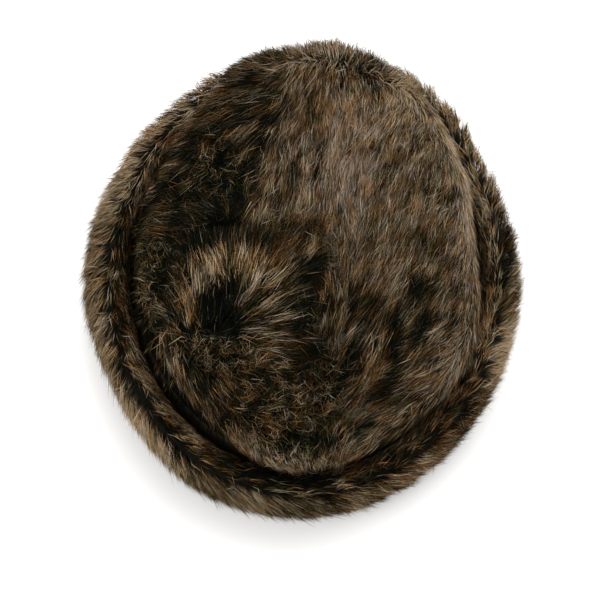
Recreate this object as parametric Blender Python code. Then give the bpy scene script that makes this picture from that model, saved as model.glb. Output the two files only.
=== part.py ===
"""A soft deep-pile fur hat that stands on its rim, for Blender 4.5. Metres, +Z up, front of the hat at -Y.

It is sewn from three pieces, and each is one object:
  crown_top   the puffed and dented fur top, a thick dome that is open below
  crown_side  the oval wall round the head, under the cuff
  cuff        the deep fur band that is turned up round the wall

The pile is part of each piece. Its outer form is a field of pointed locks, raised from the faces of the
sheet and leaning the way the fur is brushed.
"""

import math
import random
from collections import namedtuple

import bmesh
import bpy
from mathutils import Vector

MM = 0.001

# The oval that the head goes into, 573 mm round.
HEAD_HALF_WIDTH = 84 * MM
HEAD_HALF_LENGTH = 98 * MM

# Heights above the rim: the seam of the wall and the top, the inside of the dome, the top of the pile
# in its middle, and the cuff's widest place.
SEAM_HEIGHT = 66 * MM
HOLLOW_TOP = 85 * MM
CROWN_TOP = 104 * MM
BULGE_HEIGHT = 36 * MM

# The crown leans up towards the right and the back, in metres per metre.
SLOPE_RIGHT = 0.03
SLOPE_BACK = 0.05

# The wall round the head: its thickness at the foot and at the seam, and the height where it starts
# to thin. The cuff is sewn to its straight stretch, and pieces are GAP apart.
SIDE_FOOT = 12 * MM
SIDE_HEAD = 8 * MM
SIDE_STRAIGHT = 28 * MM
GAP = 0.3 * MM
WELD = 0.001 * MM

# How round the crown's shoulder and the hollow's dome are. 2 is an ellipse, more is boxier.
SHOULDER_ROUND = 2.7
HOLLOW_ROUND = 2.6

# The cuff pulls in by this much at its foot, and its outer face is this round: 1 is an ellipse.
CUFF_TUCK = 9 * MM
CUFF_ROUND = 0.85

# The cuff's inner face, from the crest down: the share of the crest's distance from the wall, and the
# share of its rise above the widest place that is already lost.
InnerRow = namedtuple("InnerRow", "out_share drop_share")
CUFF_INNER_FACE = (
    InnerRow(0.50, 0.10),
    InnerRow(0.22, 0.34),
    InnerRow(0.05, 0.80),
)

# How finely each piece is cut up: cells across the crown and rings down its skirt, columns round the
# cuff and its rows of faces under its flat foot, below its widest place and above it, and columns
# round the wall.
CROWN_CELLS = 22
SKIRT_RINGS = 3
CUFF_COLUMNS = 92
CUFF_FOOT_ROWS = 2
CUFF_LOWER_ROWS = 3
CUFF_UPPER_ROWS = 5
SIDE_COLUMNS = 72

# How much closer the crown's cells stand at its edge than in its middle.
EDGE_CROWDING = 1.3

# The height of a lock above the sheet and its lean along the nap, and the share by which both vary.
Lock = namedtuple("Lock", "height lean")
CROWN_LOCK = Lock(3.6 * MM, 7.5 * MM)
SKIRT_LOCK = Lock(2.0 * MM, 3.5 * MM)
CUFF_LOCK = Lock(3.8 * MM, 7.0 * MM)
LOCK_SPREAD = 0.35

# How far the corners of the locks are shifted about.
CROWN_RUFFLE = 2.6 * MM
CUFF_RUFFLE = 1.8 * MM
SEED = 11

# Sections round the hat, one each 30 degrees from the right side towards the back. In millimetres:
# how far the cuff's widest place, its crest and the crown's puffed edge stand outside the head oval,
# and the heights of that crest and edge.
Section = namedtuple("Section", "cuff_out crest_out crest_up edge_out edge_up")
SECTIONS = (
    Section(34, 23, 73, 12, 88),
    Section(31, 23, 71, 11, 90),
    Section(35, 25, 69, 17, 93),
    Section(31, 22, 68, 20, 95),
    Section(29, 19, 69, 9, 88),
    Section(31, 16, 72, 2, 83),
    Section(35, 21, 75, 6, 81),
    Section(32, 24, 77, 5, 78),
    Section(31, 28, 77, 8, 77),
    Section(31, 30, 76, 17.5, 80),
    Section(30, 27, 75, 16.5, 83),
    Section(32, 25, 74, 17, 86),
)

# Dents and swells of the crown, in millimetres: the middle, the half-lengths along and across, the
# turn from +X in degrees, and the rise. A dent's rise is negative.
Swell = namedtuple("Swell", "x y along across turn rise")
SWELLS = (
    Swell(-47, -24, 17, 13, 70, -10),
    Swell(-38, -2, 20, 8, 10, 4),
    Swell(-42, 13, 26, 7, 5, -6),
    Swell(-54, 42, 34, 17, 65, -6),
    Swell(-72, -4, 24, 12, 80, -5),
    Swell(-20, 55, 42, 9, 88, 3),
    Swell(42, 44, 52, 36, 80, 4),
    Swell(22, -48, 34, 8, 84, -6),
    Swell(44, -56, 18, 7, 68, -5),
    Swell(-6, -74, 30, 13, 0, -5),
    Swell(72, -66, 30, 9, 52, 3),
    Swell(-64, -70, 34, 9, -52, -6),
)

# The nap of the crown at chosen spots: where, in millimetres, and the heading of the tips from +X in
# degrees. Between them the heading follows the nearest spots, within about NAP_REACH.
Nap = namedtuple("Nap", "x y heading")
NAPS = (
    Nap(0, 90, 275),
    Nap(10, 40, 268),
    Nap(60, 50, 245),
    Nap(80, 0, 240),
    Nap(70, -50, 215),
    Nap(40, -75, 200),
    Nap(30, -30, 250),
    Nap(0, -105, 272),
    Nap(-55, -85, 285),
    Nap(-72, -40, 290),
    Nap(-45, 5, 92),
    Nap(-25, -20, 45),
    Nap(-60, -15, 120),
    Nap(-15, -55, 60),
    Nap(-50, 60, 200),
    Nap(-70, 25, 190),
    Nap(40, 100, 95),
)
NAP_REACH = 16 * MM

# The cuff's nap runs round the hat, and this much downwards and outwards for each metre round.
CUFF_NAP_DOWN = 0.5
CUFF_NAP_OUT = 0.4

# Pile colours, how dull the pile is, and the sharpest fold that still shades smooth.
CROWN_BROWN = (0.075, 0.050, 0.028, 1.0)
SIDE_BROWN = (0.040, 0.026, 0.014, 1.0)
CUFF_BROWN = (0.085, 0.060, 0.036, 1.0)
PILE_ROUGHNESS = 0.85
SMOOTH_ANGLE = math.radians(60)


def clear_scene():
    for obj in list(bpy.data.objects):
        bpy.data.objects.remove(obj, do_unlink=True)


def pile_material(name, colour):
    material = bpy.data.materials.new(name)
    material.use_nodes = True
    shader = material.node_tree.nodes["Principled BSDF"]
    shader.inputs["Base Color"].default_value = colour
    shader.inputs["Roughness"].default_value = PILE_ROUGHNESS
    shader.inputs["Metallic"].default_value = 0.0
    material.diffuse_color = colour
    return material


def steps(start, end, count):
    """count numbers that lead on from start and finish at end."""
    return [start + (end - start) * (k + 1) / count for k in range(count)]


def head_radius(azimuth):
    """The head oval's radius in this direction."""
    across = math.cos(azimuth) / HEAD_HALF_WIDTH
    along = math.sin(azimuth) / HEAD_HALF_LENGTH
    return 1 / math.hypot(across, along)


def outside(azimuth, out, height):
    """The point this far outside the head oval, at this height."""
    radius = head_radius(azimuth) + out
    return Vector((radius * math.cos(azimuth), radius * math.sin(azimuth), height))


def section_at(azimuth):
    """The section in this direction, in metres, on a closed smooth curve through the table's rows."""
    count = len(SECTIONS)
    place = azimuth / math.tau % 1 * count
    first = int(place)
    t = place - first
    rows = [SECTIONS[(first + k) % count] for k in (-1, 0, 1, 2)]
    columns = []
    for before, start, end, after in zip(*rows):
        slope_in = (end - before) / 2
        slope_out = (after - start) / 2
        bend = 3 * (end - start) - 2 * slope_in - slope_out
        twist = 2 * (start - end) + slope_in + slope_out
        columns.append((start + slope_in * t + bend * t**2 + twist * t**3) * MM)
    return Section(*columns)


def swell_height(x, y):
    """How much the dents and swells raise the crown at this place."""
    rise = 0.0
    for swell in SWELLS:
        turn = math.radians(swell.turn)
        dx, dy = x - swell.x * MM, y - swell.y * MM
        along = (dx * math.cos(turn) + dy * math.sin(turn)) / (swell.along * MM)
        across = (dy * math.cos(turn) - dx * math.sin(turn)) / (swell.across * MM)
        rise += swell.rise * MM * math.exp(-(along**2) - across**2)
    return rise


def dome(share, roundness):
    """How high a dome stands at this share of its radius, from 1 in the middle to 0 at the edge."""
    return max(0.0, 1 - share**roundness) ** (1 / roundness)


def crown_point(azimuth, share):
    """A point on the crown's puffed top, from its middle at share 0 to its edge at share 1."""
    section = section_at(azimuth)
    radius = (head_radius(azimuth) + section.edge_out) * share
    x, y = radius * math.cos(azimuth), radius * math.sin(azimuth)
    top = CROWN_TOP + SLOPE_RIGHT * x + SLOPE_BACK * y + swell_height(x, y)
    return Vector((x, y, section.edge_up + (top - section.edge_up) * dome(share, SHOULDER_ROUND)))


def skirt_point(azimuth, fall):
    """A point on the crown's outer skirt, from its puffed edge at fall 0 to the seam at fall 1."""
    section = section_at(azimuth)
    seam = SEAM_HEIGHT + GAP
    tuck = fall * fall * (3 - 2 * fall)
    out = section.edge_out + (SIDE_HEAD - section.edge_out) * tuck
    return outside(azimuth, out, section.edge_up + (seam - section.edge_up) * fall)


def seam_point(azimuth, out):
    """A point on the crown's flat sewn edge, this far outside the head oval."""
    return outside(azimuth, out, SEAM_HEIGHT + GAP)


def hollow_point(azimuth, share):
    """A point on the hollow's dome, from its middle at share 0 to the sewn edge at share 1."""
    radius = head_radius(azimuth) * share
    height = SEAM_HEIGHT + (HOLLOW_TOP - SEAM_HEIGHT) * dome(share, HOLLOW_ROUND)
    return Vector((radius * math.cos(azimuth), radius * math.sin(azimuth), height + GAP))


def crown_nap(place):
    """The way the tips point at this place on the crown."""
    heading = Vector((0.0, 0.0))
    for nap in NAPS:
        away = math.hypot(place.x - nap.x * MM, place.y - nap.y * MM) / NAP_REACH
        angle = math.radians(nap.heading)
        heading += Vector((math.cos(angle), math.sin(angle))) / (1 + away**4)
    return heading.normalized().to_3d()


def skirt_nap(_place):
    """Below the crown's edge the pile lies downwards."""
    return Vector((0.0, 0.0, -1.0))


def cuff_nap(place):
    """On the cuff the pile runs round the hat, and outwards and down as it goes."""
    away = Vector((place.x, place.y, 0.0)).normalized()
    around = Vector((-away.y, away.x, 0.0))
    return around + CUFF_NAP_OUT * away - Vector((0.0, 0.0, CUFF_NAP_DOWN))


def ruffle(bm, faces, reach, chance):
    """Shifts the inner corners of these faces about, along the sheet, so that its locks stand in no rows."""
    bm.normal_update()
    furred = set(faces)
    for vertex in bm.verts:
        if not furred.issuperset(vertex.link_faces):
            continue
        shift = Vector([chance.uniform(-reach, reach) for _ in range(3)])
        vertex.co += shift - shift.dot(vertex.normal) * vertex.normal


def raise_locks(bm, faces, lock, nap, chance):
    """Each face becomes a pointed lock: its middle is raised along the normal and leans along the nap."""
    poked = bmesh.ops.poke(bm, faces=faces)
    bm.normal_update()
    for tip in poked["verts"]:
        normal = tip.normal.copy()
        heading = nap(tip.co)
        heading = (heading - heading.dot(normal) * normal).normalized()
        tip.co += normal * lock.height * (1 + chance.uniform(-LOCK_SPREAD, LOCK_SPREAD))
        tip.co += heading * lock.lean * (1 + chance.uniform(-LOCK_SPREAD, LOCK_SPREAD))
        tip.co.z = max(tip.co.z, GAP)


def disc_sheet(bm, point):
    """A round sheet of quads from a square grid. point places each vertex by its azimuth and share."""
    made = bmesh.ops.create_grid(bm, x_segments=CROWN_CELLS, y_segments=CROWN_CELLS, size=1.0)
    for vertex in made["verts"]:
        u, w = vertex.co.x, vertex.co.y
        x, y = u * math.sqrt(1 - w * w / 2), w * math.sqrt(1 - u * u / 2)
        share = min(1.0, math.hypot(x, y))
        vertex.co = point(math.atan2(y, x), 1 - (1 - share) ** EDGE_CROWDING)
    return made["verts"]


def open_edges(bm, vertices):
    """The open edges of a sheet among these vertices."""
    held = set(vertices)
    return [e for e in bm.edges if e.is_boundary and held.issuperset(e.verts)]


def lengthen(bm, edges, point, places):
    """Extrudes a sheet's open rim once for each place. Returns the last rim and all the new faces."""
    faces = []
    for place in places:
        made = bmesh.ops.extrude_edge_only(bm, edges=edges)["geom"]
        fresh = [g for g in made if isinstance(g, bmesh.types.BMVert)]
        for vertex in fresh:
            vertex.co = point(math.atan2(vertex.co.y, vertex.co.x), place)
        faces += [g for g in made if isinstance(g, bmesh.types.BMFace)]
        edges = open_edges(bm, fresh)
    return edges, faces


def loft_ring(bm, columns, section_points):
    """A closed ring lofted through a section in each of the columns. Returns its faces by row."""
    loops = []
    for k in range(columns):
        loops.append([bm.verts.new(place) for place in section_points(k / columns * math.tau)])
    count = len(loops[0])
    rows = [[] for _ in range(count)]
    for here, beyond in zip(loops, loops[1:] + loops[:1]):
        for r in range(count):
            s = (r + 1) % count
            rows[r].append(bm.faces.new((here[r], beyond[r], beyond[s], here[s])))
    bmesh.ops.recalc_face_normals(bm, faces=bm.faces)
    return rows


def finish(bm, name, material, home):
    mesh = bpy.data.meshes.new(name)
    bm.to_mesh(mesh)
    bm.free()
    mesh.shade_smooth()
    mesh.set_sharp_from_angle(angle=SMOOTH_ANGLE)
    mesh.materials.append(material)
    home.objects.link(bpy.data.objects.new(name, mesh))


def make_crown_top(home, chance):
    """An outer sheet with its skirt, a plain hollow inside, and a flat sewn edge between them."""
    bm = bmesh.new()
    outer = disc_sheet(bm, crown_point)
    top_faces = list(bm.faces)
    skirt_rim, skirt_faces = lengthen(bm, open_edges(bm, outer), skirt_point, steps(0, 1, SKIRT_RINGS))
    lengthen(bm, skirt_rim, seam_point, (0,))
    disc_sheet(bm, hollow_point)
    bmesh.ops.remove_doubles(bm, verts=bm.verts, dist=WELD)
    bmesh.ops.recalc_face_normals(bm, faces=bm.faces)
    ruffle(bm, top_faces, CROWN_RUFFLE, chance)
    raise_locks(bm, top_faces, CROWN_LOCK, crown_nap, chance)
    raise_locks(bm, skirt_faces, SKIRT_LOCK, skirt_nap, chance)
    finish(bm, "crown_top", pile_material("crown_fur", CROWN_BROWN), home)


def side_section(azimuth):
    """The wall round the head: a flat foot, a straight inside, and an outside that thins upwards."""
    rows = (
        (0, 0),
        (SIDE_FOOT, 0),
        (SIDE_FOOT, SIDE_STRAIGHT),
        ((SIDE_FOOT + SIDE_HEAD) / 2, (SIDE_STRAIGHT + SEAM_HEIGHT) / 2),
        (SIDE_HEAD, SEAM_HEIGHT),
        (0, SEAM_HEIGHT),
        (0, SEAM_HEIGHT / 2),
    )
    return [outside(azimuth, out, height) for out, height in rows]


def make_crown_side(home):
    bm = bmesh.new()
    loft_ring(bm, SIDE_COLUMNS, side_section)
    finish(bm, "crown_side", pile_material("side_fabric", SIDE_BROWN), home)


def cuff_section(azimuth):
    """The cuff: a flat foot, a swollen outer face, a round crest, and an inner face leaning off the wall."""
    section = section_at(azimuth)
    wall = SIDE_FOOT + GAP
    foot = section.cuff_out - CUFF_TUCK
    rows = [(wall, 0), ((wall + foot) / 2, 0), (foot, 0)]
    for turn in steps(-math.pi / 2, 0, CUFF_LOWER_ROWS):
        rows.append((foot + CUFF_TUCK * math.cos(turn), BULGE_HEIGHT * (1 + math.sin(turn))))
    reach = section.cuff_out - section.crest_out
    rise = section.crest_up - BULGE_HEIGHT
    for turn in steps(0, math.pi / 2, CUFF_UPPER_ROWS):
        out = section.crest_out + reach * max(0.0, math.cos(turn)) ** CUFF_ROUND
        rows.append((out, BULGE_HEIGHT + rise * math.sin(turn) ** CUFF_ROUND))
    for row in CUFF_INNER_FACE:
        out = wall + row.out_share * (section.crest_out - wall)
        rows.append((out, section.crest_up - row.drop_share * rise))
    rows.append((wall, SIDE_STRAIGHT))
    return [outside(azimuth, out, height) for out, height in rows]


def make_cuff(home, chance):
    """The pile covers the outer face from the foot over the crest."""
    bm = bmesh.new()
    rows = loft_ring(bm, CUFF_COLUMNS, cuff_section)
    last = CUFF_FOOT_ROWS + CUFF_LOWER_ROWS + CUFF_UPPER_ROWS
    furred = [face for row in rows[CUFF_FOOT_ROWS : last + 1] for face in row]
    ruffle(bm, furred, CUFF_RUFFLE, chance)
    raise_locks(bm, furred, CUFF_LOCK, cuff_nap, chance)
    finish(bm, "cuff", pile_material("cuff_fur", CUFF_BROWN), home)


def main():
    clear_scene()
    home = bpy.data.collections.new("fur_hat")
    bpy.context.scene.collection.children.link(home)
    chance = random.Random(SEED)
    make_crown_top(home, chance)
    make_crown_side(home)
    make_cuff(home, chance)


main()
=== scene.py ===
"""A soft deep-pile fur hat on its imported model, for Blender 4.5. Metres, +Z up, front of the hat at -Y.

Three backings stand for the three CAD solids, and the pile grows on them strand by strand:
  crown_pelt, crown_fur_left, crown_fur_right, crown_fur_front, crown_curls, crown_skirt_fur   the top
  side_wall                                                   the oval wall round the head
  cuff_pelt, cuff_fur_front, cuff_fur_back, cuff_crest_fur    the turned-up band

The lengths in the tables are in millimetres, and the angles in degrees.
"""

import math
from collections import namedtuple

import bpy
import numpy as np
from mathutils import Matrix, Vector


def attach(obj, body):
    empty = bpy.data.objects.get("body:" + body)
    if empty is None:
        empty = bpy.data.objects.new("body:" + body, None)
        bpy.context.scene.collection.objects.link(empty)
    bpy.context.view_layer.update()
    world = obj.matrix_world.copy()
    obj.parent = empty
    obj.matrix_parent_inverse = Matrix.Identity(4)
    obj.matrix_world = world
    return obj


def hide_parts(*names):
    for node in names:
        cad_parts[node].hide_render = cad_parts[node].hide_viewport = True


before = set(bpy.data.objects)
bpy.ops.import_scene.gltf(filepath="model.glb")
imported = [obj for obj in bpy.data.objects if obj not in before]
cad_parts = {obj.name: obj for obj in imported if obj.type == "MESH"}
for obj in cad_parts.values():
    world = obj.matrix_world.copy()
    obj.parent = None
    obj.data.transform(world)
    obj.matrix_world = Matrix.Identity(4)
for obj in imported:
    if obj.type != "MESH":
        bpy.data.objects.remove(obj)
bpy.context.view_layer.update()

bl_info = {
    "name": "Fur Hat",
    "version": (1, 0, 0),
    "blender": (4, 5, 0),
    "location": "3D View > Sidebar > Fur Hat",
    "description": "Builds a deep-pile fur hat with a turned-up cuff, and the stage that it stands on",
    "category": "Object",
}

MM = 0.001
DOWN = np.array((0.0, 0.0, -1.0))


def table_of(kind, *rows):
    """The rows as named tuples of this kind."""
    return tuple(kind(*row) for row in rows)


# The oval that the head goes into, and the heights of the seam, the hollow, the top and the cuff's
# widest place.
HEAD_HALF_WIDTH = 84 * MM
HEAD_HALF_LENGTH = 98 * MM
HEAD_MEAN = (HEAD_HALF_WIDTH + HEAD_HALF_LENGTH) / 2
SEAM_HEIGHT = 66 * MM
HOLLOW_TOP = 85 * MM
CROWN_TOP = 104 * MM
BULGE_HEIGHT = 36 * MM

# The crown leans up towards the right and the back, in metres per metre.
SLOPE_RIGHT = 0.03
SLOPE_BACK = 0.05

# The wall round the head: its thickness at the foot and at the seam, and where it starts to thin.
SIDE_FOOT = 12 * MM
SIDE_HEAD = 8 * MM
SIDE_STRAIGHT = 28 * MM
GAP = 0.3 * MM
SIDE_CORNER = 1.5 * MM
SIDE_CORNER_STEPS = 4

# How square the crown's shoulder and the hollow's dome are, where 2 is an ellipse. How far the cuff's foot
# is tucked in, and how full its outside is, where 1 is an ellipse and less is fuller.
SHOULDER_ROUND = 2.7
HOLLOW_ROUND = 2.6
CUFF_TUCK = 9 * MM
CUFF_ROUND = 0.85

# The cuff's inner face, from the crest down: the share of the crest's distance from the wall, and the
# share of its rise above the widest place that is already lost.
INNER_OUT = (1.0, 0.50, 0.22, 0.05)
INNER_DROP = (0.0, 0.10, 0.34, 0.80)

# How far the backing lies under the sheet that the CAD model's locks are raised from.
CROWN_SINK = 3.0 * MM
CUFF_SINK = 4.0 * MM
CREST_SINK = 1.0 * MM

# Sections round the hat, one each 30 degrees from the right side towards the back: how far the cuff's
# widest place, its crest and the crown's puffed edge stand outside the head oval, and the heights of
# that crest and edge.
Section = namedtuple("Section", "cuff_out crest_out crest_up edge_out edge_up")
SECTIONS = table_of(
    Section,
    (34, 23, 73, 12, 88),
    (31, 23, 71, 11, 90),
    (35.5, 25, 69, 17, 93),
    (31, 22, 68, 20, 95),
    (30, 19, 69, 9, 88),
    (33, 18, 72, 2, 83),
    (35.5, 21, 75, 6, 81),
    (32, 24, 77, 5, 78),
    (32.5, 28, 77, 8, 77),
    (30.5, 30, 76, 17.5, 80),
    (30, 27, 75, 16.5, 83),
    (32.5, 25, 74, 17, 86),
)

# How far inside that puffed edge the crown's backing ends, by azimuth. Its pile hangs out.
Sink = namedtuple("Sink", "azimuth inside")
EDGE_SINKS = table_of(
    Sink,
    (0, 6), (12, 5.5), (28, 2), (50, 1), (68, 0), (82, 1),
    (92, 4), (107, -2), (122, 3), (137, 2), (150, 5), (164, 5),
    (180, 4), (210, 6), (235, 7), (246, 5.5), (256, 4), (265, 4.5),
    (276, 7), (300, 6), (330, 4), (348, 5.5),
)

# Patches of the crown, seen from above: the middle, the half-lengths along and across, the turn from +X,
# and the gain in the middle.
Patch = namedtuple("Patch", "x y along across turn gain")

# Dents and swells, in millimetres of height.
SWELLS = table_of(
    Patch,
    (-47, -24, 17, 13, 70, -10), (-38, -2, 20, 8, 10, 4), (-42, 13, 26, 7, 5, -6),
    (-54, 42, 34, 17, 65, -6), (-72, -4, 24, 12, 80, -5), (-20, 55, 42, 9, 88, 3),
    (42, 44, 52, 36, 80, 4), (22, -48, 34, 8, 84, -6), (44, -56, 18, 7, 68, -5),
    (-6, -74, 30, 13, 0, -5), (72, -66, 30, 9, 52, 3), (-64, -70, 34, 9, -52, -6),
)

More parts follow.
